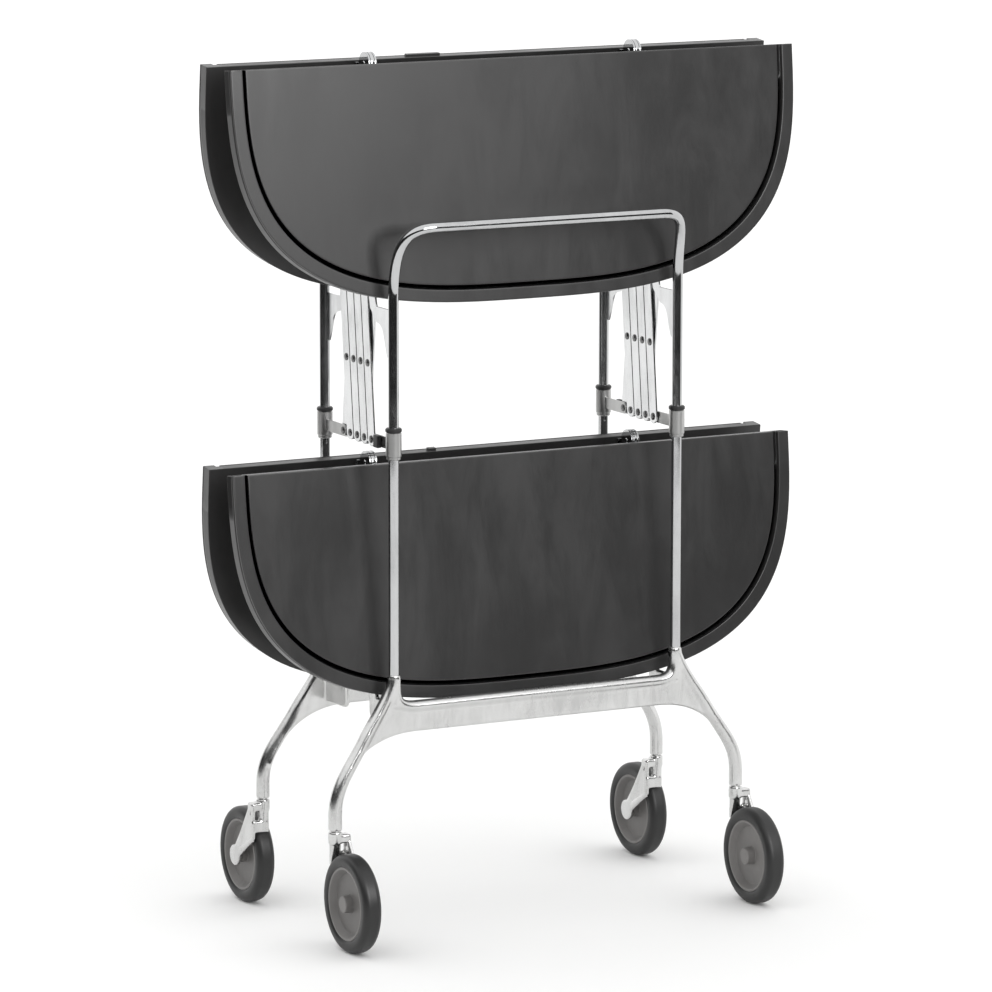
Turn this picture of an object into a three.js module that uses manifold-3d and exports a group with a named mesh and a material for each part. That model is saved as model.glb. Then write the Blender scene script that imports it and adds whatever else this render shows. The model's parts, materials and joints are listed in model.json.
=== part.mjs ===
// A folding two-tier serving trolley, standing folded. Millimetres, +X right, +Y back, +Z up.
// The origin is on the floor under the middle of the trolley. Two identical end frames face each
// other; two decks of two hinged tray leaves and a pair of lazy tongs join them.
import * as THREE from 'three';
import { mergeVertices } from 'three/addons/utils/BufferGeometryUtils.js';
import Module from 'manifold-3d';

const wasm = await Module();
wasm.setup();

// ---------------------------------------------------------------- driving dimensions
const RIGHT = 1;
const LEFT = -1;
const CLEARANCE = 0.3;            // between pieces that touch or turn on each other
const OVERLAP = 0.5;              // solids that are joined reach this far into each other

const TUBE_RADIUS = 5.3;          // handle tube
const TUBE_WALL = 1.2;
const TUBE_HALF_SPACING = 162.5;  // tube axis from the middle of the trolley, along X
const BEND_DROP = 7;              // the uprights leave the vertical this far below the upper pivots
const HANDLE_RISE = 67;           // the handle bar's axis is this far above them
const HANDLE_REACH = 25;          // the bar stands this far outside the uprights
const HANDLE_BEND = 34;           // length of the bend at each end of the bar
const BEND_RISE = 55;             // pull of the bend's lower handle, straight up
const BEND_STEPS = 8;

const LEAF_HALF_WIDTH = 320;
const LEAF_DEPTH = 245;           // straight ridge edge to the far end of the curve
const LEAF_CURVE_POWER = 3.1;     // exponent of the curved edge
const PANEL_THICKNESS = 13.7;
const RIM_RISE = 2.3;             // the rim stands this far above the panel
const RIM_WIDTH = 12.5;
const RIDGE_GAP = 0.5;            // each leaf stops this far short of the plane of the ridge
const LEAF_TILT = THREE.MathUtils.degToRad(6);   // from the vertical, when folded

const UPPER_PIVOT_Z = 657;        // pins that the upper leaves and the tongs hang from
const DECK_PITCH = 405.5;         // the lower deck is this far below the upper one
const PIVOT_ARM = 46.5;           // tube axis to the leaf pins, along Y
const EAR_REACH = 225;            // leaf pin to ridge plane, along the leaf
const EAR_DROP = 12;              // leaf pin below the underside
const RIDGE_DROP = 20.7;          // ridge pin below the underside
const EAR_THICKNESS = 3;
const EAR_RADIUS = 6.3;
const EAR_OFFSET = 2.8;           // from the plane of the tubes to the near face of an ear
const EAR_ROOT = 8;               // the ear is this much longer than its eye where it meets the leaf
const EAR_UNDERCUT = 1.5;         // and this much shorter on the outer side

const TONGUES = {                 // locating tongue of each deck: middle and width along the ridge
  upper: { x: -77, width: 38 },
  lower: { x: -67, width: 9 },
};
const TONGUE_REACH = 2.2;         // past the plane of the ridge
const TONGUE_LOW = 3;             // the tongue's lower face is this far above the underside
const TONGUE_HIGH = 8.5;          // and its upper face this far
const TONGUE_ROOM = 0.6;          // round the tongue in its pocket

const BRACKET_DROP = 66;          // the tab beside the tube ends this far below the pin
const BRACKET_TAB = 5;            // width of the tab
const BRACKET_TOP = 17;           // the bracket's top edge is this far below the pin
const BRACKET_NECK = 6;           // the eye's neck widens by this much towards the tube
const BRACKET_PULLS = [[14.4, 48], [11.4, 34.5]];   // in from the tab and down from the pin
const BRACKET_HEEL = [28.4, 33];  // end of that curve
const BRACKET_TOE = [2, 20];      // in from the pin and down from it

const RIDGE_HINGE_X = 151.5;      // ridge hinges from the middle of the trolley
const HINGE_WIDTH = 9;
const KNUCKLE_RADIUS = 11.8;
const HINGE_PLATE = 2.2;
const HINGE_FOOT_LENGTH = 28;
const HINGE_INSET = 2;            // the foot stops this far short of the plane of the ridge
const HINGE_SLOPE_FOOT = 17;      // the lugs slope down to the foot over this length
const RIDGE_PIN_RADIUS = 2.2;

const CROSSES = 4;                // crosses in each lazy tong
const TONG_DROP = 153.5;          // top pivots to bottom pivots, when folded
const BAR_THICKNESS = 1.8;
const BAR_WIDTH = 14.6;
const PIN_RADIUS = 2.5;
const HEAD_RADIUS = 3.75;
const HEAD_HEIGHT = 1.3;
const HOLE_SIDES = 8;

const COLLAR_RADIUS = 8;
const COLLAR_BELOW = 14.5;        // the collar reaches this far below its arm's pivot
const COLLAR_ABOVE = 13.5;        // and this far above it
const RING_HEIGHT = 4;
const RING_RADIUS = 8.4;
const RING_TAPER = 0.6;
const ARM_RADIUS = 6;
const CATCH = { length: 10, height: 13, thickness: 5, offset: 32 };

const CASTING_DEPTH = 14;
const CASTING_EDGE = 4.6;         // rounding of the casting's edges
const CROSSBAR_TOP_Z = 241;
const CROSSBAR_BOTTOM_Z = 209.5;
const SOCKET_TOP_Z = 270;
const SOCKET_RADIUS = 6.7;
const SOCKET_DEPTH = 24;
const FILLET_RUN = 20;            // the crossbar's top starts to rise this far inside the socket
const FILLET_PULLS = [[5, 1], [2, 12]];      // in from the socket, up from the crossbar's top
const SHOULDER_PULLS = [[1, 14], [22, 44]];  // out from the socket, down from its top
const SHOULDER_END = [34, 1];     // out from the socket, up from the crossbar's underside
const LEG_PULLS = [[49, 20], 38]; // out and down from there, then up from the foot
const ARCH_PULLS = [43, [37, 1]]; // up from the foot, then in from the leg and down
const ARCH_RUN = 85;              // the arch levels out this far inside the leg
const LEG_STRAIGHT = 13;          // the leg is upright this far above its foot
const STEM_HEIGHT = 36;
const LUG_THICKNESS = 4.5;
const LUG_BOTTOM_Z = 215;
const LUG_TOP_Z = 239;
const LUG_CORNER = 9;             // height of the rounded lower corner
const EYE_NECK = 4;               // an eye's neck widens by this much towards the tube

const STEM_X = 232;               // caster axis from the middle of the trolley
const STEM_OUTSET = 6.3;          // caster axis outside the tube axis, along Y
const STEM_RADIUS = 7;
const STEM_HEADROOM = 17;         // the stem ends this far above the wheel
const SWIVEL_PIN_RADIUS = 4;
const SWIVEL_PIN_LENGTH = 26;

const WHEEL_RADIUS = 50;
const WHEEL_TRAIL = 39;
const TYRE_WIDTH = 20;
const TYRE_BORE = 37.5;
const HUB_RADIUS = 8.6;
const WHEEL_WEB = 5;
const WHEEL_RIM = 3;              // thickness of the wheel's rim under the tyre
const RIM_SLOPE = 2;              // the rim's inner wall slopes over this much
const RIM_INSET = 2;              // the rim's face is this far inside the tyre's
const HUB_STAND = 1.5;            // the hub stands this far past the tyre's face on the free side
const HUB_INSET = 0.5;            // and stops this far inside it on the arm's side
const TYRE_BEVEL = 1.5;           // the tyre's face slopes in by this much towards its bore
const SHOULDERS = [[6, 0], [1.6, 3], [0, 7]];       // the tyre's shoulder: in from its tread and its face
const AXLE_RADIUS = 4;
const AXLE_INSET = 1;             // the axle's free end is this far inside the tyre's face
const FORK_PLATE = 4.6;
const FORK_INSET = 1;             // the arm is this much narrower than the boss, on each side
const FORK_GAP = 0.9;             // tyre to fork arm
const FORK_BOSS_HEIGHT = 13;
const FORK_SHOULDER = [3, 12];    // top and underside of the shoulder, down from the boss's top
const FORK_RIB = 39;              // the upright rib ends this far below the boss's top
const FORK_TOE = [9, 1];          // lower end of the rib: behind the swivel, and further down
const FORK_EYE_RADIUS = 11;
const FORK_EYE_ANGLES = [-0.6, 2.7];         // where the eye meets the arm's two edges
const FORK_HEEL = 6;              // the arm leaves the shoulder this far below its top
const FORK_SLOT = [[0, 15], [-11, 33], [-1, 33]];   // corners: along Y, and down from the boss's top

// ---------------------------------------------------------------- sizes that follow
const LEAF_THICKNESS = PANEL_THICKNESS + RIM_RISE;
const BEND_START_Z = UPPER_PIVOT_Z - BEND_DROP;
const HANDLE_Z = UPPER_PIVOT_Z + HANDLE_RISE;
const STEM_BOTTOM_Z = 2 * WHEEL_RADIUS + STEM_HEADROOM;
const TUBE_BASE_Z = SOCKET_TOP_Z - SOCKET_DEPTH;  // lower end of the tube, inside the socket
const RIDGE_OFFSET = EAR_DROP - RIDGE_DROP;       // ridge pin from the leaf pin, across the leaf
const PIVOT_Y = EAR_REACH * Math.sin(LEAF_TILT) - RIDGE_OFFSET * Math.cos(LEAF_TILT);
const TUBE_Y = PIVOT_Y + PIVOT_ARM;
const STEM_Y = TUBE_Y + STEM_OUTSET;
const TONG_PITCH = (2 * PIVOT_Y) / CROSSES;
const BAR_LENGTH = Math.hypot(TONG_DROP, TONG_PITCH);
const BAR_LEAN = Math.atan2(TONG_PITCH, TONG_DROP);
const ARM_Z = UPPER_PIVOT_Z - TONG_DROP;
const LOWER_PIVOT_Z = UPPER_PIVOT_Z - DECK_PITCH;
const COLLAR_BORE = TUBE_RADIUS + CLEARANCE;
const LAYER_NEAR = CLEARANCE;                     // faces of a layer of bars, from the tongs' plane
const LAYER_FAR = LAYER_NEAR + BAR_THICKNESS;
const PIN_END = EAR_OFFSET + EAR_THICKNESS + CLEARANCE;

// ---------------------------------------------------------------- materials
const chrome = new THREE.MeshStandardMaterial({ color: 0xcfd2d4, roughness: 0.12, metalness: 1 });
const castAluminium = new THREE.MeshStandardMaterial({ color: 0xc4c5c6, roughness: 0.3, metalness: 1 });
const polishedSteel = new THREE.MeshStandardMaterial({ color: 0xd8dadb, roughness: 0.18, metalness: 1 });
const blackLaminate = new THREE.MeshStandardMaterial({ color: 0x2c2b2c, roughness: 0.35, metalness: 0 });
const blackPlastic = new THREE.MeshStandardMaterial({ color: 0x1d1d1e, roughness: 0.5, metalness: 0 });
const greyPlastic = new THREE.MeshStandardMaterial({ color: 0x7b7876, roughness: 0.5, metalness: 0 });
const darkRubber = new THREE.MeshStandardMaterial({ color: 0x3a3a3a, roughness: 0.75, metalness: 0 });

// ---------------------------------------------------------------- solids
function toSolid(geometry) {
  const bare = new THREE.BufferGeometry();
  bare.setAttribute('position', geometry.getAttribute('position').clone());
  if (geometry.index) bare.setIndex(geometry.index.clone());
  const merged = mergeVertices(bare, 1e-4);
  const mesh = new wasm.Mesh({
    numProp: 3,
    vertProperties: new Float32Array(merged.getAttribute('position').array),
    triVerts: new Uint32Array(merged.index.array),
  });
  return new wasm.Manifold(mesh);
}

function toGeometry(solid) {
  const { vertProperties, triVerts } = solid.getMesh();
  const geometry = new THREE.BufferGeometry();
  geometry.setAttribute('position', new THREE.BufferAttribute(new Float32Array(vertProperties), 3));
  geometry.setIndex(new THREE.BufferAttribute(new Uint32Array(triVerts), 1));
  return geometry;
}

function join(...geometries) {
  return toGeometry(geometries.map(toSolid).reduce((whole, piece) => whole.add(piece)));
}

function cut(geometry, ...tools) {
  return toGeometry(tools.map(toSolid).reduce((whole, tool) => whole.subtract(tool), toSolid(geometry)));
}

// A round hole for a pin, whose flats keep the clearance.
function pinHole(x, y) {
  const radius = (PIN_RADIUS + CLEARANCE) / Math.cos(Math.PI / HOLE_SIDES);
  const points = [];
  for (let i = 0; i < HOLE_SIDES; i += 1) {
    const turn = (2 * Math.PI * i) / HOLE_SIDES;
    points.push(new THREE.Vector2(x + radius * Math.cos(turn), y - radius * Math.sin(turn)));
  }
  return new THREE.Path(points);
}

// A plate drawn in the YZ plane, between two values of X.
function sidePlate(shape, x0, x1, curveSegments = 5) {
  const geometry = new THREE.ExtrudeGeometry(shape, { depth: x1 - x0, bevelEnabled: false, curveSegments });
  const axes = new THREE.Matrix4().makeBasis(
    new THREE.Vector3(0, 1, 0), new THREE.Vector3(0, 0, 1), new THREE.Vector3(1, 0, 0));
  return geometry.applyMatrix4(axes).translate(x0, 0, 0);
}

function rodAlongX(radius, x0, x1, y = 0, z = 0, segments = 10) {
  return new THREE.CylinderGeometry(radius, radius, x1 - x0, segments)
    .rotateZ(-Math.PI / 2).translate((x0 + x1) / 2, y, z);
}

function rodAlongZ(radius, z0, z1, x = 0, y = 0, segments = 12) {
  return new THREE.CylinderGeometry(radius, radius, z1 - z0, segments)
    .rotateX(Math.PI / 2).translate(x, y, (z0 + z1) / 2);
}

// A pin along X with a head beyond each end of its shank.
function headedPin(shankStart, shankEnd) {
  const profile = [
    [0, shankStart - HEAD_HEIGHT], [HEAD_RADIUS, shankStart - HEAD_HEIGHT], [HEAD_RADIUS, shankStart],
    [PIN_RADIUS, shankStart], [PIN_RADIUS, shankEnd], [HEAD_RADIUS, shankEnd],
    [HEAD_RADIUS, shankEnd + HEAD_HEIGHT], [0, shankEnd + HEAD_HEIGHT],
  ];
  return new THREE.LatheGeometry(profile.map(([r, x]) => new THREE.Vector2(r, x)), HOLE_SIDES)
    .rotateZ(-Math.PI / 2);
}

function block(x0, x1, y0, y1, z0, z1) {
  return new THREE.BoxGeometry(x1 - x0, y1 - y0, z1 - z0)
    .translate((x0 + x1) / 2, (y0 + y1) / 2, (z0 + z1) / 2);
}

function named(name, geometry, material) {
  const mesh = new THREE.Mesh(geometry, material);
  mesh.name = name;
  return mesh;
}

function at(object, x, y, z) {
  object.position.set(x, y, z);
  return object;
}

const sideName = (side) => (side === LEFT ? 'left' : 'right');

// ---------------------------------------------------------------- tray leaves
// A leaf is drawn with its pin axis along X at the origin, Y along the leaf to the ridge, and Z
// out of the top surface.
function curvedEdge(halfWidth, depth, ridge, segments) {
  const points = [];
  for (let i = 0; i <= segments; i += 1) {
    const turn = (Math.PI * i) / segments;
    const across = Math.abs(Math.cos(turn)) ** (2 / LEAF_CURVE_POWER) * Math.sign(Math.cos(turn));
    const down = Math.abs(Math.sin(turn)) ** (2 / LEAF_CURVE_POWER);
    points.push(new THREE.Vector2(halfWidth * across, EAR_REACH - depth * down));
  }
  points[0].y = ridge;
  points[segments].y = ridge;
  return new THREE.Shape(points);
}

// A tongue, as long on one side of the ridge plane as on the other. With room round it, its pocket.
function tongueBlock({ x, width }, room) {
  const reach = TONGUE_REACH + room;
  return block(x - width / 2 - room, x + width / 2 + room, EAR_REACH - reach, EAR_REACH + reach,
    EAR_DROP + TONGUE_LOW - room, EAR_DROP + TONGUE_HIGH + room);
}

function leafGeometry(tongue, isPocket) {
  const ridge = EAR_REACH - RIDGE_GAP;
  const body = new THREE.ExtrudeGeometry(
    curvedEdge(LEAF_HALF_WIDTH, LEAF_DEPTH, ridge, 32), { depth: LEAF_THICKNESS, bevelEnabled: false });
  body.translate(0, 0, EAR_DROP);
  const recess = new THREE.ExtrudeGeometry(
    curvedEdge(LEAF_HALF_WIDTH - RIM_WIDTH, LEAF_DEPTH - RIM_WIDTH, ridge + 3, 32),
    { depth: RIM_RISE + 1, bevelEnabled: false });
  recess.translate(0, 0, EAR_DROP + PANEL_THICKNESS);
  const tray = cut(body, recess);

  const earShape = new THREE.Shape();
  earShape.moveTo(EAR_RADIUS + EAR_ROOT, EAR_DROP + OVERLAP);
  earShape.lineTo(-EAR_RADIUS + EAR_UNDERCUT, EAR_DROP + OVERLAP);
  earShape.lineTo(-EAR_RADIUS, 0);
  earShape.absarc(0, 0, EAR_RADIUS, Math.PI, 2 * Math.PI, false);
  earShape.closePath();
  earShape.holes.push(pinHole(0, 0));
  const earOuter = TUBE_HALF_SPACING - EAR_OFFSET;
  const ears = [
    sidePlate(earShape, earOuter - EAR_THICKNESS, earOuter, 6),
    sidePlate(earShape, -earOuter, -earOuter + EAR_THICKNESS, 6),
  ];
  const whole = join(tray, ...ears);
  return isPocket ? cut(whole, tongueBlock(tongue, TONGUE_ROOM)) : join(whole, tongueBlock(tongue, 0));
}

// Half of a ridge hinge. The half on the front leaf has two lugs and the pin, the other has one lug.
function hingeHalfGeometry(isFork) {
  const footTop = EAR_DROP - CLEARANCE;
  const footBottom = footTop - HINGE_PLATE;
  const footEnd = EAR_REACH - HINGE_INSET;
  const half = HINGE_WIDTH / 2;
  const foot = block(-half, half, footEnd - HINGE_FOOT_LENGTH, footEnd, footBottom, footTop);

  const lugShape = new THREE.Shape();
  lugShape.moveTo(footEnd, footTop - OVERLAP);
  lugShape.lineTo(footEnd - HINGE_SLOPE_FOOT, footTop - OVERLAP);
  lugShape.absarc(EAR_REACH, RIDGE_OFFSET, KNUCKLE_RADIUS, Math.PI * 1.2, Math.PI * 2.55, false);
  lugShape.closePath();

  const lugInner = half - HINGE_PLATE - CLEARANCE;
  if (!isFork) {
    const lug = sidePlate(lugShape, -lugInner, lugInner, 6);
    const bore = rodAlongX(RIDGE_PIN_RADIUS + CLEARANCE, -half, half, EAR_REACH, RIDGE_OFFSET);
    return cut(join(foot, lug), bore);
  }
  const pin = rodAlongX(RIDGE_PIN_RADIUS, -half + OVERLAP, half - OVERLAP, EAR_REACH, RIDGE_OFFSET);
  return join(foot, pin, sidePlate(lugShape, -half, -half + HINGE_PLATE, 6),
    sidePlate(lugShape, half - HINGE_PLATE, half, 6));
}

// Everything that is fixed to one leaf, in the leaf's own frame.
function leafGroup(deck, end) {
  const isFront = end === 'front';
  const frontSign = isFront ? 1 : -1;
  const tongue = { x: TONGUES[deck].x * frontSign, width: TONGUES[deck].width };
  const group = new THREE.Group();
  group.add(named(`${deck}_${end}_leaf`, leafGeometry(tongue, isFront), blackLaminate));
  for (const side of [LEFT, RIGHT]) {
    const half = named(`${deck}_${sideName(side)}_hinge_${isFront ? 'fork' : 'tongue'}`,
      hingeHalfGeometry(isFront), chrome);
    group.add(at(half, side * frontSign * RIDGE_HINGE_X, 0, 0));
  }
  group.rotation.x = Math.PI / 2 - LEAF_TILT;
  return group;
}

// ---------------------------------------------------------------- end frame
// The handle's centre line, with as many stations on each stretch as its bend needs.
class StationedPath extends THREE.Curve {
  constructor(stretches) {
    super();
    this.stretches = stretches;
    this.stations = stretches.reduce((sum, stretch) => sum + stretch.steps, 0);
  }

  getPoint(t) {
    let left = t * this.stations;
    for (const { curve, steps } of this.stretches) {
      if (left <= steps) return curve.getPoint(left / steps);
      left -= steps;
    }
    return this.stretches.at(-1).curve.getPoint(1);
  }

  getPointAt(t) {
    return this.getPoint(t);
  }

  getTangentAt(t) {
    return this.getTangent(t);
  }
}

function handleGeometry() {
  const out = -TUBE_Y - HANDLE_REACH;
  const point = (x, y, z) => new THREE.Vector3(x, y, z);
  const bend = (side) => new THREE.CubicBezierCurve3(
    point(side * TUBE_HALF_SPACING, -TUBE_Y, BEND_START_Z),
    point(side * TUBE_HALF_SPACING, -TUBE_Y, BEND_START_Z + BEND_RISE),
    point(side * TUBE_HALF_SPACING, out, HANDLE_Z),
    point(side * (TUBE_HALF_SPACING - HANDLE_BEND), out, HANDLE_Z));
  const rightBend = bend(RIGHT);
  const path = new StationedPath([
    { curve: new THREE.LineCurve3(point(-TUBE_HALF_SPACING, -TUBE_Y, TUBE_BASE_Z), bend(LEFT).v0), steps: 1 },
    { curve: bend(LEFT), steps: BEND_STEPS },
    { curve: new THREE.LineCurve3(bend(LEFT).v3, rightBend.v3), steps: 1 },
    {
      curve: new THREE.CubicBezierCurve3(rightBend.v3, rightBend.v2, rightBend.v1, rightBend.v0),
      steps: BEND_STEPS,
    },
    { curve: new THREE.LineCurve3(rightBend.v0, point(TUBE_HALF_SPACING, -TUBE_Y, TUBE_BASE_Z)), steps: 1 },
  ]);
  const section = new THREE.Shape().absarc(0, 0, TUBE_RADIUS, 0, 2 * Math.PI, false);
  section.holes.push(new THREE.Path().absarc(0, 0, TUBE_RADIUS - TUBE_WALL, 0, 2 * Math.PI, true));
  return new THREE.ExtrudeGeometry(section,
    { steps: path.stations, extrudePath: path, bevelEnabled: false, curveSegments: 6 });
}

// Right half of the casting's outline in X and Z, from the middle of its top edge round to the
// middle of its bottom edge.
function traceCastingHalf(shape, side) {
  const line = (x, z) => shape.lineTo(side * x, z);
  const curve = (ax, az, bx, bz, x, z) => shape.bezierCurveTo(side * ax, az, side * bx, bz, side * x, z);
  const inner = TUBE_HALF_SPACING - SOCKET_RADIUS;
  const outer = TUBE_HALF_SPACING + SOCKET_RADIUS;
  const stemOuter = STEM_X + STEM_RADIUS;
  const stemInner = STEM_X - STEM_RADIUS;
  const [[filletIn, filletUp], [riseIn, riseUp]] = FILLET_PULLS;
  const [[socketOut, socketDown], [slopeOut, slopeDown]] = SHOULDER_PULLS;
  const [shoulderOut, shoulderUp] = SHOULDER_END;
  const [[legOut, legDown], legUp] = LEG_PULLS;
  const [archUp, [archIn, archDown]] = ARCH_PULLS;
  line(inner - FILLET_RUN, CROSSBAR_TOP_Z);
  curve(inner - filletIn, CROSSBAR_TOP_Z + filletUp, inner - riseIn, CROSSBAR_TOP_Z + riseUp,
    inner, SOCKET_TOP_Z);
  line(outer, SOCKET_TOP_Z);
  curve(outer + socketOut, SOCKET_TOP_Z - socketDown, outer + slopeOut, SOCKET_TOP_Z - slopeDown,
    outer + shoulderOut, CROSSBAR_BOTTOM_Z + shoulderUp);
  curve(outer + legOut, CROSSBAR_BOTTOM_Z - legDown, stemOuter, STEM_BOTTOM_Z + legUp,
    stemOuter, STEM_BOTTOM_Z + LEG_STRAIGHT);
  line(stemOuter, STEM_BOTTOM_Z);
  line(stemInner, STEM_BOTTOM_Z);
  line(stemInner, STEM_BOTTOM_Z + LEG_STRAIGHT);
  curve(stemInner, STEM_BOTTOM_Z + archUp, stemInner - archIn, CROSSBAR_BOTTOM_Z - archDown,
    stemInner - ARCH_RUN, CROSSBAR_BOTTOM_Z);
  line(0, CROSSBAR_BOTTOM_Z);
}

function castingOutline() {
  const right = new THREE.Shape();
  right.moveTo(0, CROSSBAR_TOP_Z);
  traceCastingHalf(right, RIGHT);
  const half = right.getPoints(5);
  const mirrored = half.slice(1, -1).reverse().map((p) => new THREE.Vector2(-p.x, p.y));
  return new THREE.Shape([...half, ...mirrored]);
}

function lugGeometry(side) {
  const inward = (reach) => reach - TUBE_Y;
  const tip = EAR_RADIUS;
  const shape = new THREE.Shape();
  shape.moveTo(inward(0), LUG_BOTTOM_Z);
  shape.lineTo(inward(PIVOT_ARM), LUG_BOTTOM_Z);
  shape.quadraticCurveTo(inward(PIVOT_ARM + tip), LUG_BOTTOM_Z,
    inward(PIVOT_ARM + tip), LUG_BOTTOM_Z + LUG_CORNER);
  shape.lineTo(inward(PIVOT_ARM + tip), LOWER_PIVOT_Z);
  shape.absarc(inward(PIVOT_ARM), LOWER_PIVOT_Z, tip, 0, Math.PI, false);
  shape.lineTo(inward(PIVOT_ARM - tip - EYE_NECK), LUG_TOP_Z);
  shape.lineTo(inward(0), LUG_TOP_Z);
  shape.closePath();
  const x = side * TUBE_HALF_SPACING;
  const plate = sidePlate(shape, x - LUG_THICKNESS / 2, x + LUG_THICKNESS / 2, 6);
  return join(plate, pivotPin(x, -PIVOT_Y, LOWER_PIVOT_Z));
}

// A headed pin along X, centred on the plane of the tubes.
function pivotPin(x, y, z) {
  return headedPin(-PIN_END, PIN_END).translate(x, y, z);
}

function castingGeometry() {
  const plate = new THREE.ExtrudeGeometry(castingOutline(), {
    depth: CASTING_DEPTH - 2 * CASTING_EDGE,
    bevelThickness: CASTING_EDGE,
    bevelSize: CASTING_EDGE,
    bevelOffset: -CASTING_EDGE,
    bevelSegments: 1,
  });
  plate.rotateX(Math.PI / 2).translate(0, -TUBE_Y + CASTING_DEPTH / 2 - CASTING_EDGE, 0);
  const additions = [];
  const bores = [];
  for (const side of [LEFT, RIGHT]) {
    const stemX = side * STEM_X;
    const tubeX = side * TUBE_HALF_SPACING;
    additions.push(rodAlongZ(STEM_RADIUS, STEM_BOTTOM_Z, STEM_BOTTOM_Z + STEM_HEIGHT, stemX, -STEM_Y));
    additions.push(rodAlongZ(SOCKET_RADIUS, TUBE_BASE_Z - SOCKET_RADIUS, SOCKET_TOP_Z, tubeX, -TUBE_Y));
    additions.push(lugGeometry(side));
    bores.push(rodAlongZ(TUBE_RADIUS + CLEARANCE, TUBE_BASE_Z - CLEARANCE, SOCKET_TOP_Z + 1, tubeX, -TUBE_Y));
    bores.push(rodAlongZ(SWIVEL_PIN_RADIUS + CLEARANCE, STEM_BOTTOM_Z - 1,
      STEM_BOTTOM_Z + SWIVEL_PIN_LENGTH + CLEARANCE, stemX, -STEM_Y));
  }
  return cut(join(plate, ...additions), ...bores);
}

// The bracket beside an upright, with the pin that one upper leaf and one bar hang from.
function bracketGeometry() {
  const inward = (reach) => reach - TUBE_Y;
  const nearTube = TUBE_RADIUS + CLEARANCE;
  const shape = new THREE.Shape();
  const [[tabIn, tabDown], [coveIn, coveDown]] = BRACKET_PULLS;
  const [heelIn, heelDown] = BRACKET_HEEL;
  const [toeIn, toeDown] = BRACKET_TOE;
  shape.moveTo(inward(nearTube), UPPER_PIVOT_Z - BRACKET_DROP);
  shape.lineTo(inward(nearTube + BRACKET_TAB), UPPER_PIVOT_Z - BRACKET_DROP);
  shape.bezierCurveTo(inward(nearTube + tabIn), UPPER_PIVOT_Z - tabDown,
    inward(nearTube + coveIn), UPPER_PIVOT_Z - coveDown, inward(nearTube + heelIn), UPPER_PIVOT_Z - heelDown);
  shape.lineTo(inward(PIVOT_ARM + toeIn), UPPER_PIVOT_Z - toeDown);
  shape.lineTo(inward(PIVOT_ARM + EAR_RADIUS), UPPER_PIVOT_Z);
  shape.absarc(inward(PIVOT_ARM), UPPER_PIVOT_Z, EAR_RADIUS, 0, Math.PI, false);
  shape.lineTo(inward(PIVOT_ARM - EAR_RADIUS - BRACKET_NECK), UPPER_PIVOT_Z - BRACKET_TOP);
  shape.lineTo(inward(nearTube), UPPER_PIVOT_Z - BRACKET_TOP);
  shape.closePath();
  return join(sidePlate(shape, -LAYER_FAR, -LAYER_NEAR), pivotPin(0, -PIVOT_Y, UPPER_PIVOT_Z));
}

// The sliding collar, with the arm that the first bottom pivot of a tong is on.
function collarGeometry() {
  const inward = (reach) => reach - TUBE_Y;
  const shape = new THREE.Shape();
  shape.moveTo(inward(COLLAR_BORE + OVERLAP), ARM_Z - ARM_RADIUS);
  shape.lineTo(inward(PIVOT_ARM), ARM_Z - ARM_RADIUS);
  shape.absarc(inward(PIVOT_ARM), ARM_Z, ARM_RADIUS, -Math.PI / 2, Math.PI / 2, false);
  shape.lineTo(inward(COLLAR_BORE + OVERLAP), ARM_Z + ARM_RADIUS);
  shape.closePath();
  const arm = sidePlate(shape, LAYER_NEAR, LAYER_FAR);
  const head = rodAlongX(HEAD_RADIUS, LAYER_FAR - OVERLAP, LAYER_FAR + HEAD_HEIGHT, -PIVOT_Y, ARM_Z);
  const sleeve = rodAlongZ(COLLAR_RADIUS, ARM_Z - COLLAR_BELOW, ARM_Z + COLLAR_ABOVE, 0, -TUBE_Y);
  const bore = rodAlongZ(COLLAR_BORE, ARM_Z - COLLAR_BELOW - 1, ARM_Z + COLLAR_ABOVE + 1, 0, -TUBE_Y);
  return cut(join(sleeve, arm, head), bore);
}

function ringGeometry() {
  const bottom = ARM_Z + COLLAR_ABOVE + CLEARANCE;
  const profile = [
    new THREE.Vector2(COLLAR_BORE, 0), new THREE.Vector2(RING_RADIUS, 0),
    new THREE.Vector2(RING_RADIUS - RING_TAPER, RING_HEIGHT), new THREE.Vector2(COLLAR_BORE, RING_HEIGHT),
    new THREE.Vector2(COLLAR_BORE, 0),
  ];
  return new THREE.LatheGeometry(profile, 16).rotateX(Math.PI / 2).translate(0, -TUBE_Y, bottom);
}

function catchGeometry() {
  const y = CATCH.offset - TUBE_Y;
  const outer = LAYER_NEAR - CLEARANCE;
  return block(outer - CATCH.thickness, outer, y - CATCH.length / 2, y + CATCH.length / 2,
    ARM_Z - CATCH.height / 2, ARM_Z + CATCH.height / 2);
}

// ---------------------------------------------------------------- casters
// Drawn with the swivel axis on Z through the origin's X and Y, and the wheel trailing towards -Y.
const FORK_TOP_Z = STEM_BOTTOM_Z - 1;
const FORK_INNER_X = TYRE_WIDTH / 2 + FORK_GAP;

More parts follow.
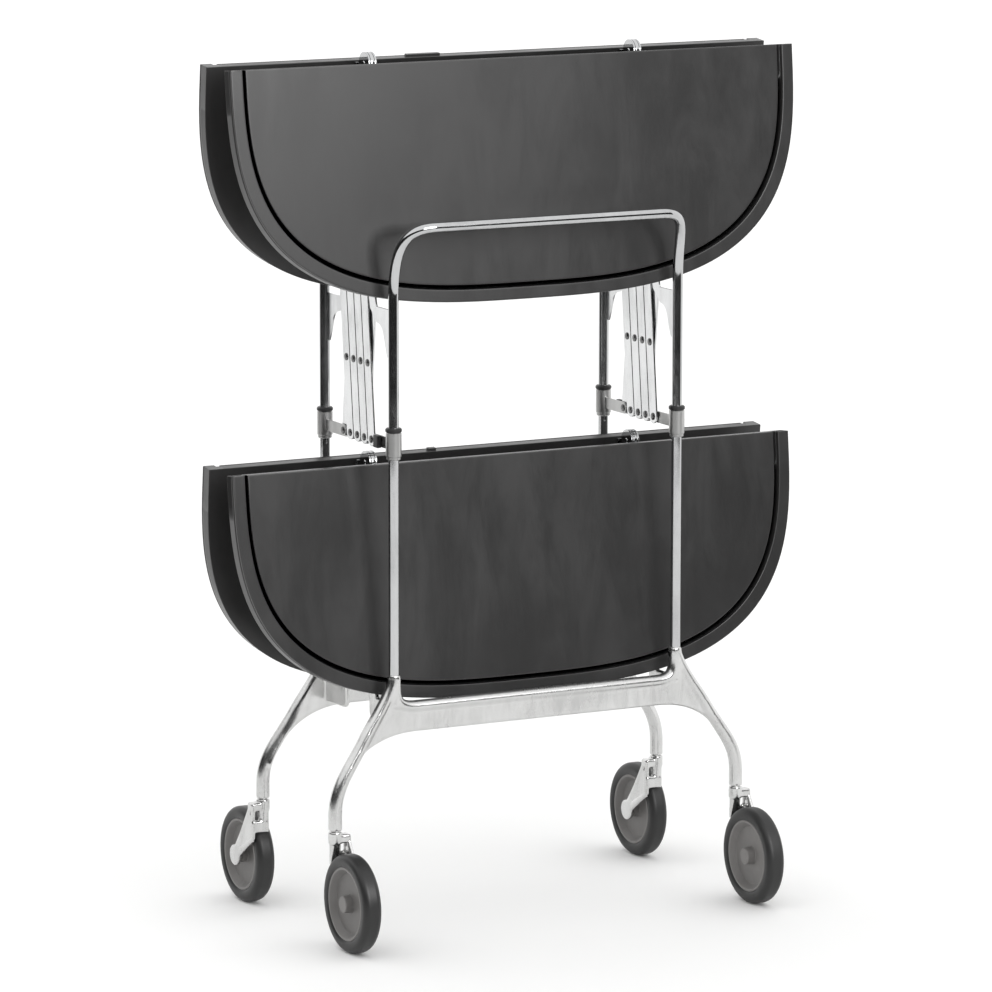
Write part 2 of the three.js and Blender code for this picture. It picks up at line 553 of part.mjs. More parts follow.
function forkGeometry() {
  const shape = new THREE.Shape();
  const [shoulderTop, shoulderBottom] = FORK_SHOULDER;
  const top = FORK_TOP_Z - shoulderTop;
  const side = STEM_RADIUS - FORK_INSET;
  const [toeBack, toeDown] = FORK_TOE;
  shape.moveTo(side, top);
  shape.lineTo(side, FORK_TOP_Z - FORK_RIB);
  shape.lineTo(-toeBack, FORK_TOP_Z - FORK_RIB - toeDown);
  shape.absarc(-WHEEL_TRAIL, WHEEL_RADIUS, FORK_EYE_RADIUS, ...FORK_EYE_ANGLES, true);
  shape.lineTo(-side, top - FORK_HEEL);
  shape.lineTo(-side, top);
  shape.closePath();
  const corners = FORK_SLOT.map(([y, down]) => new THREE.Vector2(y, FORK_TOP_Z - down));
  shape.holes.push(new THREE.Path(corners).closePath());
  const plate = sidePlate(shape, FORK_INNER_X, FORK_INNER_X + FORK_PLATE);
  const boss = rodAlongZ(STEM_RADIUS, FORK_TOP_Z - FORK_BOSS_HEIGHT, FORK_TOP_Z);
  const shoulder = block(-side + FORK_INSET, FORK_INNER_X + FORK_PLATE, -side, side,
    FORK_TOP_Z - shoulderBottom, top);
  const pin = rodAlongZ(SWIVEL_PIN_RADIUS, top, STEM_BOTTOM_Z + SWIVEL_PIN_LENGTH);
  const axle = rodAlongX(AXLE_RADIUS, AXLE_INSET - TYRE_WIDTH / 2, FORK_INNER_X + OVERLAP,
    -WHEEL_TRAIL, WHEEL_RADIUS, 14);
  return join(plate, boss, shoulder, pin, axle);
}

function latheAlongX(profile, segments) {
  return new THREE.LatheGeometry(profile, segments).rotateZ(-Math.PI / 2)
    .translate(0, -WHEEL_TRAIL, WHEEL_RADIUS);
}

// The wheel's profile: radius, then place along the axle, with the free side at negative values.
function wheelGeometry() {
  const bore = AXLE_RADIUS + CLEARANCE;
  const half = TYRE_WIDTH / 2;
  const web = WHEEL_WEB / 2;
  const rimInner = TYRE_BORE - WHEEL_RIM;
  const rimOuter = TYRE_BORE - CLEARANCE;
  const face = half - RIM_INSET;
  const boreEnd = -half + AXLE_INSET - CLEARANCE;
  const points = [
    [0, -half - HUB_STAND], [HUB_RADIUS, -half - HUB_STAND], [HUB_RADIUS, -web],
    [rimInner - RIM_SLOPE, -web], [rimInner, -face], [rimOuter, -face], [rimOuter, face], [rimInner, face],
    [rimInner - RIM_SLOPE, web], [HUB_RADIUS, web], [HUB_RADIUS, half - HUB_INSET],
    [bore, half - HUB_INSET], [bore, boreEnd], [0, boreEnd],
  ];
  return latheAlongX(points.map(([r, x]) => new THREE.Vector2(r, x)), 18);
}

function tyreGeometry() {
  const half = TYRE_WIDTH / 2;
  const shoulder = SHOULDERS.map(([tread, face]) => [WHEEL_RADIUS - tread, half - face]);
  const points = [
    [TYRE_BORE, TYRE_BEVEL - half], ...shoulder.map(([r, x]) => [r, -x]), ...shoulder.toReversed(),
    [TYRE_BORE, half - TYRE_BEVEL], [TYRE_BORE, TYRE_BEVEL - half],
  ];
  return latheAlongX(points.map(([r, x]) => new THREE.Vector2(r, x)), 28);
}

function casterGroup(place) {
  const group = new THREE.Group();
  group.add(named(`${place}_caster_fork`, forkGeometry(), castAluminium));
  group.add(named(`${place}_wheel`, wheelGeometry(), greyPlastic));
  group.add(named(`${place}_tyre`, tyreGeometry(), darkRubber));
  return group;
}

// One end frame, drawn as the front one. The other is the same, turned half round.
function endFrame(end) {
  const frontSign = end === 'front' ? 1 : -1;
  const place = (side) => `${end}_${sideName(side * frontSign)}`;
  const frame = new THREE.Group();
  frame.add(named(`${end}_base_casting`, castingGeometry(), castAluminium));
  frame.add(named(`${end}_handle_tube`, handleGeometry(), chrome));
  for (const side of [LEFT, RIGHT]) {
    const x = side * TUBE_HALF_SPACING;
    frame.add(at(named(`${place(side)}_bracket`, bracketGeometry(), polishedSteel), x, 0, 0));
    frame.add(at(named(`${place(side)}_collar`, collarGeometry(), polishedSteel), x, 0, 0));
    frame.add(at(named(`${place(side)}_collar_ring`, ringGeometry(), blackPlastic), x, 0, 0));
    frame.add(at(casterGroup(place(side)), side * STEM_X, -STEM_Y, 0));
  }
  const catchX = LEFT * TUBE_HALF_SPACING;
  frame.add(at(named(`${end}_catch_block`, catchGeometry(), blackPlastic), catchX, 0, 0));
  if (end === 'back') frame.rotation.z = Math.PI;
  return frame;
}

// ---------------------------------------------------------------- lazy tongs
// A rivet through both layers of bars, belonging to the layer on the -X side.
function throughRivet(z) {
  return headedPin(-LAYER_FAR, LAYER_FAR + CLEARANCE).translate(0, 0, z);
}

// A rivet head on the outside of one layer, where the next piece isn't pinned to this one.
function singleHead(z, layer) {
  const ends = [LAYER_FAR - OVERLAP, LAYER_FAR + HEAD_HEIGHT];
  const [x0, x1] = layer < 0 ? [-ends[1], -ends[0]] : ends;
  return rodAlongX(HEAD_RADIUS, x0, x1, 0, z, HOLE_SIDES);
}

// A bar with its top pivot at the origin. layer is the side of the tongs' plane that it lies on,
// and fastening says what is at each of its three pivots: a hole, a rivet or a head.
function barGeometry(layer, fastening) {
  const half = BAR_WIDTH / 2;
  const shape = new THREE.Shape();
  shape.absarc(0, 0, half, 0, Math.PI, false);
  shape.absarc(0, -BAR_LENGTH, half, Math.PI, 2 * Math.PI, false);
  shape.closePath();
  const pivots = [0, -BAR_LENGTH / 2, -BAR_LENGTH];
  const rivets = [];
  pivots.forEach((z, i) => {
    if (fastening[i] === 'hole') shape.holes.push(pinHole(0, z));
    if (fastening[i] === 'rivet') rivets.push(throughRivet(z));
    if (fastening[i] === 'head') rivets.push(singleHead(z, layer));
  });
  const faces = layer < 0 ? [-LAYER_FAR, -LAYER_NEAR] : [LAYER_NEAR, LAYER_FAR];
  return join(sidePlate(shape, faces[0], faces[1], 3), ...rivets);
}

function lazyTongs(side) {
  const tongs = new THREE.Group();
  const pivotY = (i) => -PIVOT_Y + i * TONG_PITCH;
  const middle = CROSSES / 2;
  for (let i = 0; i < CROSSES; i += 1) {
    const fallingBottom = i + 1 === middle || i + 1 === CROSSES ? 'head' : 'hole';
    const falling = named(`${sideName(side)}_falling_bar_${i + 1}`,
      barGeometry(1, [i === middle ? 'head' : 'hole', 'hole', fallingBottom]), polishedSteel);
    falling.rotation.x = BAR_LEAN;
    tongs.add(at(falling, 0, pivotY(i), UPPER_PIVOT_Z));

    const risingTop = { [middle]: 'head', [CROSSES]: 'hole' }[i + 1] ?? 'rivet';
    const risingBottom = i === 0 || i === middle ? 'head' : 'rivet';
    const rising = named(`${sideName(side)}_rising_bar_${i + 1}`,
      barGeometry(-1, [risingTop, 'rivet', risingBottom]), polishedSteel);
    rising.rotation.x = -BAR_LEAN;
    tongs.add(at(rising, 0, pivotY(i + 1), UPPER_PIVOT_Z));
  }
  return at(tongs, side * TUBE_HALF_SPACING, 0, 0);
}

// ---------------------------------------------------------------- the whole trolley
const trolley = new THREE.Group();
for (const end of ['front', 'back']) {
  trolley.add(endFrame(end));
  for (const [deck, pivotZ] of [['upper', UPPER_PIVOT_Z], ['lower', LOWER_PIVOT_Z]]) {
    const turned = new THREE.Group();
    turned.add(at(leafGroup(deck, end), 0, -PIVOT_Y, pivotZ));
    if (end === 'back') turned.rotation.z = Math.PI;
    trolley.add(turned);
  }
}
for (const side of [LEFT, RIGHT]) trolley.add(lazyTongs(side));

export default trolley;
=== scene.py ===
"""A folding two-tier serving trolley, standing folded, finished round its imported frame."""
import json
from math import atan2, copysign, cos, hypot, pi, radians, sin

import bmesh
import bpy
from bpy.props import FloatProperty, FloatVectorProperty, IntProperty, PointerProperty
from bpy.types import Operator, Panel, PropertyGroup
from mathutils import Matrix, Vector
from mathutils.geometry import interpolate_bezier


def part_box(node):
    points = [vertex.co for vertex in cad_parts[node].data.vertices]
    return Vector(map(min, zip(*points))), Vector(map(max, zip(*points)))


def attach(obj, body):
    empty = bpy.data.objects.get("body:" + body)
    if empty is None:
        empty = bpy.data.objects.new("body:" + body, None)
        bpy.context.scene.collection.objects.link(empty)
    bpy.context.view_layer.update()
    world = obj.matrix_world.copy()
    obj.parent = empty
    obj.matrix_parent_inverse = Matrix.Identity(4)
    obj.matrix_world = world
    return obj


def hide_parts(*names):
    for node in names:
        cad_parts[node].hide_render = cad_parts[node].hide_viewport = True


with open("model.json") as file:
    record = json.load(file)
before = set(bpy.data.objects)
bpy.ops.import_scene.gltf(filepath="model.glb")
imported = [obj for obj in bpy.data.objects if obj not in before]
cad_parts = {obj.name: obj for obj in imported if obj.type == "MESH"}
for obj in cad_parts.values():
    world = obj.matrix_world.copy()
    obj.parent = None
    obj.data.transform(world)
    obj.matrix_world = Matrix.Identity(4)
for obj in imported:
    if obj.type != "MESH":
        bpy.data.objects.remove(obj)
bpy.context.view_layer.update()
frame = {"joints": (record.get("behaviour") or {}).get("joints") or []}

bl_info = {
    "name": "Folding serving trolley",
    "version": (1, 0, 0),
    "blender": (4, 5, 0),
    "location": "View3D > Sidebar > Trolley",
    "description": "Builds the finished surfaces of a folding two-tier serving trolley",
    "category": "Object",
}

X_AXIS = Vector((1, 0, 0))
Y_AXIS = Vector((0, 1, 0))
Z_AXIS = Vector((0, 0, 1))
HALF_TURN = Matrix.Rotation(pi, 4, "Z")
ENDS = ("front", "back")
LEFT, RIGHT = -1, 1
SIDE_NAMES = {LEFT: "left", RIGHT: "right"}

# ---------------------------------------------------------------- places, read from the frame


def pin_of(joint_name):
    """The point that a joint turns about."""
    return Vector(next(j for j in frame["joints"] if j["name"] == joint_name)["pos_m"])


def middle(node):
    """The middle of a node's box."""
    low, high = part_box(node)
    return (low + high) / 2


UPPER_PIN = pin_of("fold")
LOWER_PIN = pin_of("lower_front_pivot")
RIDGE_PIN = pin_of("upper_ridge")
TOP_PIVOT = pin_of("front_first_bar")
CROSS_PIVOT = pin_of("cross_1")
SWIVEL = pin_of("front_right_swivel")
AXLE = pin_of("front_right_spin")
RING_MIDDLE = middle("front_right_collar_ring")
TUBE_X, TUBE_Y = RING_MIDDLE.x, RING_MIDDLE.y
RING_BASE_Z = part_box("front_right_collar_ring")[0].z
ARM_Z = CROSS_PIVOT.z * 2 - TOP_PIVOT.z
CROSSES = 4
PITCH = 2 * (CROSS_PIVOT.y - TOP_PIVOT.y)
BAR_LENGTH = 2 * hypot(CROSS_PIVOT.y - TOP_PIVOT.y, TOP_PIVOT.z - CROSS_PIVOT.z)
BAR_LEAN = atan2(CROSS_PIVOT.y - TOP_PIVOT.y, TOP_PIVOT.z - CROSS_PIVOT.z)

EAR_REACH = 0.225        # leaf pin to the plane of the ridge
EAR_DROP = 0.012         # leaf pin below the underside
RIDGE_DROP = 0.0207      # ridge pin below the underside
RIDGE_OFFSET = EAR_DROP - RIDGE_DROP
LEAF_TILT = (atan2(RIDGE_PIN.y - UPPER_PIN.y, RIDGE_PIN.z - UPPER_PIN.z)
             - atan2(-RIDGE_OFFSET, EAR_REACH))
RIDGE_GAP = 0.0005
HINGE_X = middle("upper_right_hinge_fork").x

# ---------------------------------------------------------------- what a user may change


def length_setting(name, description, default, low, high):
    """A length that a user may change."""
    return FloatProperty(name=name, description=description, default=default, min=low, max=high,
                         unit="LENGTH")


def colour_setting(name, description, default):
    """A colour that a user may change."""
    return FloatVectorProperty(name=name, description=description, default=default,
                               subtype="COLOR", min=0, max=1)


class TrolleySizes(PropertyGroup):
    tube_radius: length_setting("Tube radius", "Radius of the handle tube", 0.0053, 0.003, 0.009)
    bead_radius: length_setting(
        "Bead radius", "Radius of the round bead along the casting's top edge",
        0.0059, 0.003, 0.008)
    web_thickness: length_setting("Web thickness", "Thickness of the flat part of the casting",
                                  0.0098, 0.004, 0.013)
    panel_thickness: length_setting("Panel thickness", "Thickness of a tray leaf inside its rim",
                                    0.0137, 0.008, 0.02)
    rim_rise: length_setting("Rim rise", "Height of the rim above the panel", 0.0023, 0.001, 0.012)
    rim_width: length_setting("Rim width", "Width of the rim along the curved edge",
                              0.0125, 0.005, 0.03)
    channel_width: length_setting(
        "Channel width", "Width of the channel between the rim and the panel", 0.0046, 0.001, 0.008)
    channel_depth: length_setting(
        "Channel depth", "Depth of the channel between the rim and the panel",
        0.0034, 0.0025, 0.005)
    bar_width: length_setting("Bar width", "Width of a lazy tong bar", 0.0146, 0.008, 0.016)
    bar_thickness: length_setting("Bar thickness", "Thickness of a lazy tong bar",
                                  0.0018, 0.001, 0.003)
    rivet_radius: length_setting("Rivet radius", "Radius of a rivet's head", 0.0038, 0.002, 0.006)
    collar_radius: length_setting("Collar radius", "Outer radius of a sliding collar",
                                  0.008, 0.0065, 0.012)
    stem_radius: length_setting("Stem radius", "Radius of the leg where the caster turns",
                                0.007, 0.004, 0.01)
    wheel_radius: length_setting("Wheel radius", "Radius of a caster wheel over its tyre",
                                 0.05, 0.03, 0.06)
    tyre_width: length_setting("Tyre width", "Width of a tyre", 0.020, 0.012, 0.025)


class TrolleyFinishes(PropertyGroup):
    chrome: colour_setting("Chrome", "Colour of the plated handle tubes and hinges",
                           (0.53, 0.535, 0.54))
    steel: colour_setting("Polished steel", "Colour of the tongs, brackets and collars",
                          (0.70, 0.705, 0.71))
    # Painted shade: the rivet colour is darkened to stand in for the dark reflections that the
    # domed heads show.
    rivet: colour_setting("Rivets", "Colour of the dark rivets and pivot pins", (0.16, 0.16, 0.16))
    collar: colour_setting("Collars", "Colour of the satin sliding collars", (0.46, 0.46, 0.455))
    casting: colour_setting("Casting", "Colour of the polished aluminium castings",
                            (0.65, 0.65, 0.645))
    board: colour_setting("Board", "Colour of the black laminate on the leaves",
                          (0.020, 0.0195, 0.0195))
    board_roughness: FloatProperty(
        name="Board roughness", description="How satin the laminate is",
        default=0.34, min=0.05, max=0.9, subtype="FACTOR")
    black_plastic: colour_setting("Black plastic", "Colour of the collar rings and catch blocks",
                                  (0.007, 0.007, 0.0075))
    wheel: colour_setting("Wheel", "Colour of the moulded wheels", (0.135, 0.130, 0.126))
    rubber: colour_setting("Tyre rubber", "Colour of the tyres", (0.012, 0.012, 0.012))


class TrolleyStudio(PropertyGroup):
    floor_radius: length_setting("Floor radius", "Radius of the pale floor", 30.0, 5.0, 100.0)
    light_power: FloatProperty(
        name="Light power", description="Power of the main soft light, in watts",
        default=60.0, min=0.0, max=5000.0)
    lens: FloatProperty(
        name="Lens", description="Focal length of the camera, in millimetres",
        default=213.75, min=20.0, max=400.0)
    curve_steps: IntProperty(
        name="Curve steps", description="Faces along the curved edge of a leaf",
        default=84, min=16, max=256)


# ---------------------------------------------------------------- mesh helpers


def fresh(bm, before):
    """The vertices that were added since before was taken."""
    return [v for v in bm.verts if v not in before]


def faces_of(verts):
    """Every face that touches these vertices."""
    return list({f for v in verts for f in v.link_faces})


def arc(centre, radius, start, end, steps):
    """Points of an arc in a plane, angles in degrees."""
    turns = [radians(start + (end - start) * i / steps) for i in range(steps + 1)]
    return [Vector((centre[0] + radius * cos(t), centre[1] + radius * sin(t))) for t in turns]


def extrude(bm, faces, move):
    """Pulls faces out by move and returns the faces at the far end."""
    made = bmesh.ops.extrude_face_region(bm, geom=list(faces))["geom"]
    bmesh.ops.translate(bm, vec=move, verts=[g for g in made if isinstance(g, bmesh.types.BMVert)])
    return [g for g in made if isinstance(g, bmesh.types.BMFace)]


def bevel_sharp(bm, verts, offset, segments=3, above=35.0):
    """Rounds the edges between verts where the surface turns by more than above degrees."""
    chosen = set(verts)
    edges = {e for v in chosen for e in v.link_edges
             if e.other_vert(v) in chosen and len(e.link_faces) == 2
             and e.calc_face_angle(0) > radians(above)}
    bmesh.ops.bevel(bm, geom=list(edges), offset=offset, offset_type="OFFSET", segments=segments,
                    profile=0.5, affect="EDGES", material=-1, clamp_overlap=True)


def plate(bm, outline, low, high, axis="X", edge=0.0, segments=2):
    """A flat plate between two values of axis. Its outline is in the other two directions."""
    before = set(bm.verts)
    if axis == "X":
        verts = [bm.verts.new((low, p[0], p[1])) for p in outline]
        move = Vector((high - low, 0, 0))
    else:
        verts = [bm.verts.new((p[0], low, p[1])) for p in outline]
        move = Vector((0, high - low, 0))
    extrude(bm, [bm.faces.new(verts)], move)
    made = fresh(bm, before)
    bmesh.ops.recalc_face_normals(bm, faces=faces_of(made))
    if edge:
        bevel_sharp(bm, made, edge, segments)
    return fresh(bm, before)


def box_piece(bm, low, high, edge=0.0, segments=2):
    """A block between two corners, with its edges rounded."""
    outline = [(low[1], low[2]), (high[1], low[2]), (high[1], high[2]), (low[1], high[2])]
    return plate(bm, outline, low[0], high[0], edge=edge, segments=segments)


def turned(bm, profile, place, steps=32):
    """Spins a profile of (radius, along) points about X, then moves the solid to place."""
    before = set(bm.verts)
    chain = [bm.verts.new((along, 0, radius)) for radius, along in profile]
    edges = [bm.edges.new(pair) for pair in zip(chain, chain[1:])]
    bmesh.ops.spin(bm, geom=chain + edges, cent=(0, 0, 0), axis=X_AXIS, angle=2 * pi,
                   steps=steps, use_merge=True)
    made = fresh(bm, before)
    bmesh.ops.remove_doubles(bm, verts=made, dist=1e-6)
    made = fresh(bm, before)
    bmesh.ops.recalc_face_normals(bm, faces=faces_of(made))
    bmesh.ops.transform(bm, matrix=place, verts=made)
    return made


def rod(bm, radius, low, high, place, steps):
    """A plain round pin between two values along its axis."""
    turned(bm, [(0, low), (radius, low), (radius, high), (0, high)], place, steps)


def along_z(x, y):
    """Turns what was spun about X upright, at a place on the floor plan."""
    return Matrix.Translation((x, y, 0)) @ Matrix.Rotation(-pi / 2, 4, "Y")


def ring_place(point, ahead, across, size):
    """Where a section of a swept bar lies: its centre, its direction and its two half widths."""
    side = (across - across.dot(ahead) * ahead).normalized()
    up = ahead.cross(side)
    turn = Matrix((side, up, ahead)).transposed().to_4x4()
    return Matrix.Translation(point) @ turn @ Matrix.Diagonal((size[0], size[1], 1, 1))


def sweep(bm, points, sizes, sides=28, across=Y_AXIS):
    """A closed round bar along points. sizes are its half widths, along across and square to it."""
    before = set(bm.verts)
    if not isinstance(sizes, list):
        sizes = [sizes] * len(points)
    ring = bmesh.ops.create_circle(bm, segments=sides, radius=1.0, cap_ends=True)["verts"]
    edges = list({e for v in ring for e in v.link_edges})
    last = Matrix.Identity(4)
    for i, point in enumerate(points):
        ahead = (points[min(i + 1, len(points) - 1)] - points[max(i - 1, 0)]).normalized()
        place = ring_place(point, ahead, across, sizes[i])
        if i:
            made = bmesh.ops.extrude_edge_only(bm, edges=edges)["geom"]
            ring = [g for g in made if isinstance(g, bmesh.types.BMVert)]
            edges = [g for g in made if isinstance(g, bmesh.types.BMEdge)]
        bmesh.ops.transform(bm, matrix=place @ last.inverted(), verts=ring)
        last = place
    bmesh.ops.contextual_create(bm, geom=edges)
    made = fresh(bm, before)
    bmesh.ops.recalc_face_normals(bm, faces=faces_of(made))
    return made


def head(bm, x, y, z, radius, height, outward):
    """A domed rivet head on a face, standing out along +X or -X."""
    profile = [(radius, -0.0002), (radius, height * 0.35)]
    profile += [(radius * cos(radians(a)), height * (0.35 + 0.65 * sin(radians(a))))
                for a in range(15, 90, 15)]
    profile += [(0, height)]
    place = Matrix.Translation((x, y, z)) @ Matrix.Diagonal((outward, 1, 1, 1))
    made = turned(bm, profile, place, 20)
    faces = faces_of(made)
    if outward < 0:
        bmesh.ops.reverse_faces(bm, faces=faces)
    # Slot 1 is the darkened rivet steel, painted shade for the dark reflections of the domes.
    for face in faces:
        face.material_index = 1


def linked(name, data):
    """An object with this data, in the scene."""
    made = bpy.data.objects.new(name, data)
    bpy.context.scene.collection.objects.link(made)
    return made


def linked_mesh(name, bm, *finishes):
    """An object with a bmesh's shape and these finishes, in the scene."""
    mesh = bpy.data.meshes.new(name)
    bm.to_mesh(mesh)
    bm.free()
    for finish in finishes:
        mesh.materials.append(bpy.data.materials[finish])
    return linked(name, mesh)


def finished(name, bm, finish, body, nodes, sharp=32.0):
    """Makes a bmesh a piece that rides on a body and stands for CAD nodes."""
    for face in bm.faces:
        face.smooth = True
    for edge in bm.edges:
        edge.smooth = len(edge.link_faces) != 2 or edge.calc_face_angle(0) < radians(sharp)
    piece = linked_mesh(name, bm, finish)
    # Rivet heads get the darkened rivet steel, whose dark colour is painted shade.
    if any(polygon.material_index for polygon in piece.data.polygons):
        piece.data.materials.append(bpy.data.materials["rivet_steel"])
    flat = piece.modifiers.new("even_shading", "WEIGHTED_NORMAL")
    flat.keep_sharp = True
    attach(piece, body)
    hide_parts(*nodes)


def cast(bm, voxel, smoothing):
    """Melts overlapping shells into one skin with soft corners, as a casting has."""
    holder = linked_mesh("casting_shells", bm)
    mesh = holder.data
    remesh = holder.modifiers.new("skin", "REMESH")
    remesh.mode = "VOXEL"
    remesh.voxel_size = voxel
    depsgraph = bpy.context.evaluated_depsgraph_get()
    skin = bpy.data.meshes.new_from_object(holder.evaluated_get(depsgraph))
    bpy.data.objects.remove(holder)
    melted = bmesh.new()
    melted.from_mesh(skin)
    bpy.data.meshes.remove(skin)
    bpy.data.meshes.remove(mesh)
    for _ in range(smoothing):
        bmesh.ops.smooth_vert(melted, verts=melted.verts, factor=0.5, use_axis_x=True,
                              use_axis_y=True, use_axis_z=True)
    return melted


def for_end(bm, end):
    """Turns a mesh drawn at the front half round, for the back."""
    if end == "back":
        bmesh.ops.transform(bm, matrix=HALF_TURN, verts=bm.verts)


def side_at(end, side):
    """The name of the side that a place drawn at the front comes to at this end."""
    drawn_left = side == LEFT
    return "left" if drawn_left == (end == "front") else "right"


# ---------------------------------------------------------------- shader helpers


def add(tree, kind, values=None, links=None, **settings):
    """Adds a node, sets its fields and sockets, and links what feeds it."""
    node = tree.nodes.new(kind)
    for field, value in settings.items():
        setattr(node, field, value)
    for socket, value in (values or {}).items():
        node.inputs[socket].default_value = value
    for socket, source in (links or {}).items():
        tree.links.new(source, node.inputs[socket])
    return node


def on_surface(tree):
    """Where a point lies on its own object."""
    return add(tree, "ShaderNodeTexCoord").outputs["Object"]


def shader_group(name, inputs, outputs):
    """An empty node group with named sockets, and its input and output nodes."""
    tree = bpy.data.node_groups.new(name, "ShaderNodeTree")
    for label, kind, value in inputs:
        socket = tree.interface.new_socket(label, in_out="INPUT", socket_type=kind)
        socket.default_value = value
    for label, kind in outputs:
        tree.interface.new_socket(label, in_out="OUTPUT", socket_type=kind)
    return tree, add(tree, "NodeGroupInput"), add(tree, "NodeGroupOutput")


def handling_group():
    """Faint smears and cloudy patches from handling and wiping, as a roughness."""
    tree, given, result = shader_group(
        "Handling marks",
        [("Low", "NodeSocketFloat", 0.1), ("High", "NodeSocketFloat", 0.3),
         ("Patch Scale", "NodeSocketFloat", 8.0), ("Smear Scale", "NodeSocketFloat", 60.0)],
        [("Roughness", "NodeSocketFloat"), ("Mask", "NodeSocketFloat")])
    place = on_surface(tree)
    patches = add(tree, "ShaderNodeTexNoise", {"Detail": 5.0, "Roughness": 0.6},
                  {"Vector": place, "Scale": given.outputs["Patch Scale"]})
    stretched = add(tree, "ShaderNodeMapping",
                    {"Rotation": (0.4, 0.7, 0.2), "Scale": (1.0, 1.0, 0.25)}, {"Vector": place})
    smears = add(tree, "ShaderNodeTexNoise", {"Detail": 6.0, "Roughness": 0.7, "Distortion": 0.6},
                 {"Vector": stretched.outputs["Vector"], "Scale": given.outputs["Smear Scale"]})
    both = add(tree, "ShaderNodeMath", None,
               {0: patches.outputs["Fac"], 1: smears.outputs["Fac"]}, operation="MULTIPLY")
    mask = add(tree, "ShaderNodeMapRange", {"From Min": 0.12, "From Max": 0.42},
               {"Value": both.outputs[0]}, interpolation_type="SMOOTHSTEP")
    rough = add(tree, "ShaderNodeMapRange", None,
                {"Value": mask.outputs["Result"], "To Min": given.outputs["Low"],
                 "To Max": given.outputs["High"]})
    tree.links.new(rough.outputs["Result"], result.inputs["Roughness"])
    tree.links.new(mask.outputs["Result"], result.inputs["Mask"])


def grain_group():
    """Fine parallel polishing lines, as a height."""
    tree, given, result = shader_group(
        "Polishing lines",
        [("Stretch", "NodeSocketVector", (1.0, 1.0, 0.02)), ("Scale", "NodeSocketFloat", 900.0)],
        [("Height", "NodeSocketFloat")])
    place = on_surface(tree)
    scaled = add(tree, "ShaderNodeVectorMath", None,
                 {0: place, 1: given.outputs["Stretch"]}, operation="MULTIPLY")
    lines = add(tree, "ShaderNodeTexNoise", {"Detail": 4.0, "Roughness": 0.65},
                {"Vector": scaled.outputs["Vector"], "Scale": given.outputs["Scale"]})
    tree.links.new(lines.outputs["Fac"], result.inputs["Height"])


def worn_edge_and_shade_group():
    """A colour that pales where the surface is sharp and rubbed, and is painted darker as shade in
    its concave corners.
    """
    tree, given, result = shader_group(
        "Worn edges and painted shade",
        [("Colour", "NodeSocketColor", (0.1, 0.1, 0.1, 1)),
         ("Worn", "NodeSocketColor", (0.3, 0.3, 0.3, 1)),
         ("Corner Shade", "NodeSocketColor", (0.02, 0.02, 0.02, 1)), ("Amount", "NodeSocketFloat", 0.5)],
        [("Colour", "NodeSocketColor")])
    bend = add(tree, "ShaderNodeNewGeometry").outputs["Pointiness"]
    place = on_surface(tree)
    rubbed = add(tree, "ShaderNodeTexNoise", {"Scale": 35.0, "Detail": 6.0, "Roughness": 0.7},
                 {"Vector": place})
    edge = add(tree, "ShaderNodeMapRange", {"From Min": 0.51, "From Max": 0.58}, {"Value": bend})
    patchy = add(tree, "ShaderNodeMath", None,
                 {0: edge.outputs["Result"], 1: rubbed.outputs["Fac"]}, operation="MULTIPLY")
    share = add(tree, "ShaderNodeMath", None,
                {0: patchy.outputs[0], 1: given.outputs["Amount"]},
                operation="MULTIPLY", use_clamp=True)
    # Painted shade: concave corners, where pointiness is low, are mixed towards the darker colour.
    corner = add(tree, "ShaderNodeMapRange", {"From Min": 0.49, "From Max": 0.43, "To Max": 0.6},
                 {"Value": bend})
    worn = add(tree, "ShaderNodeMix", None,
               {0: share.outputs[0], 6: given.outputs["Colour"], 7: given.outputs["Worn"]},
               data_type="RGBA")
    shaded_corners = add(tree, "ShaderNodeMix", None,
                {0: corner.outputs["Result"], 6: worn.outputs[2], 7: given.outputs["Corner Shade"]},
                data_type="RGBA")
    tree.links.new(shaded_corners.outputs[2], result.inputs["Colour"])


def group_node(tree, group_name, values=None, links=None):
    """Places one of the shared groups."""
    return add(tree, "ShaderNodeGroup", values, links, node_tree=bpy.data.node_groups[group_name])


def bare_material(name):
    """Makes a material with only a Principled BSDF and returns its tree and that shader."""
    material = bpy.data.materials.new(name)
    material.use_nodes = True
    tree = material.node_tree
    return tree, tree.nodes["Principled BSDF"]


def shade(colour, factor):
    """A colour made lighter or darker, with an alpha."""
    return (*(min(1.0, c * factor) for c in colour), 1.0)


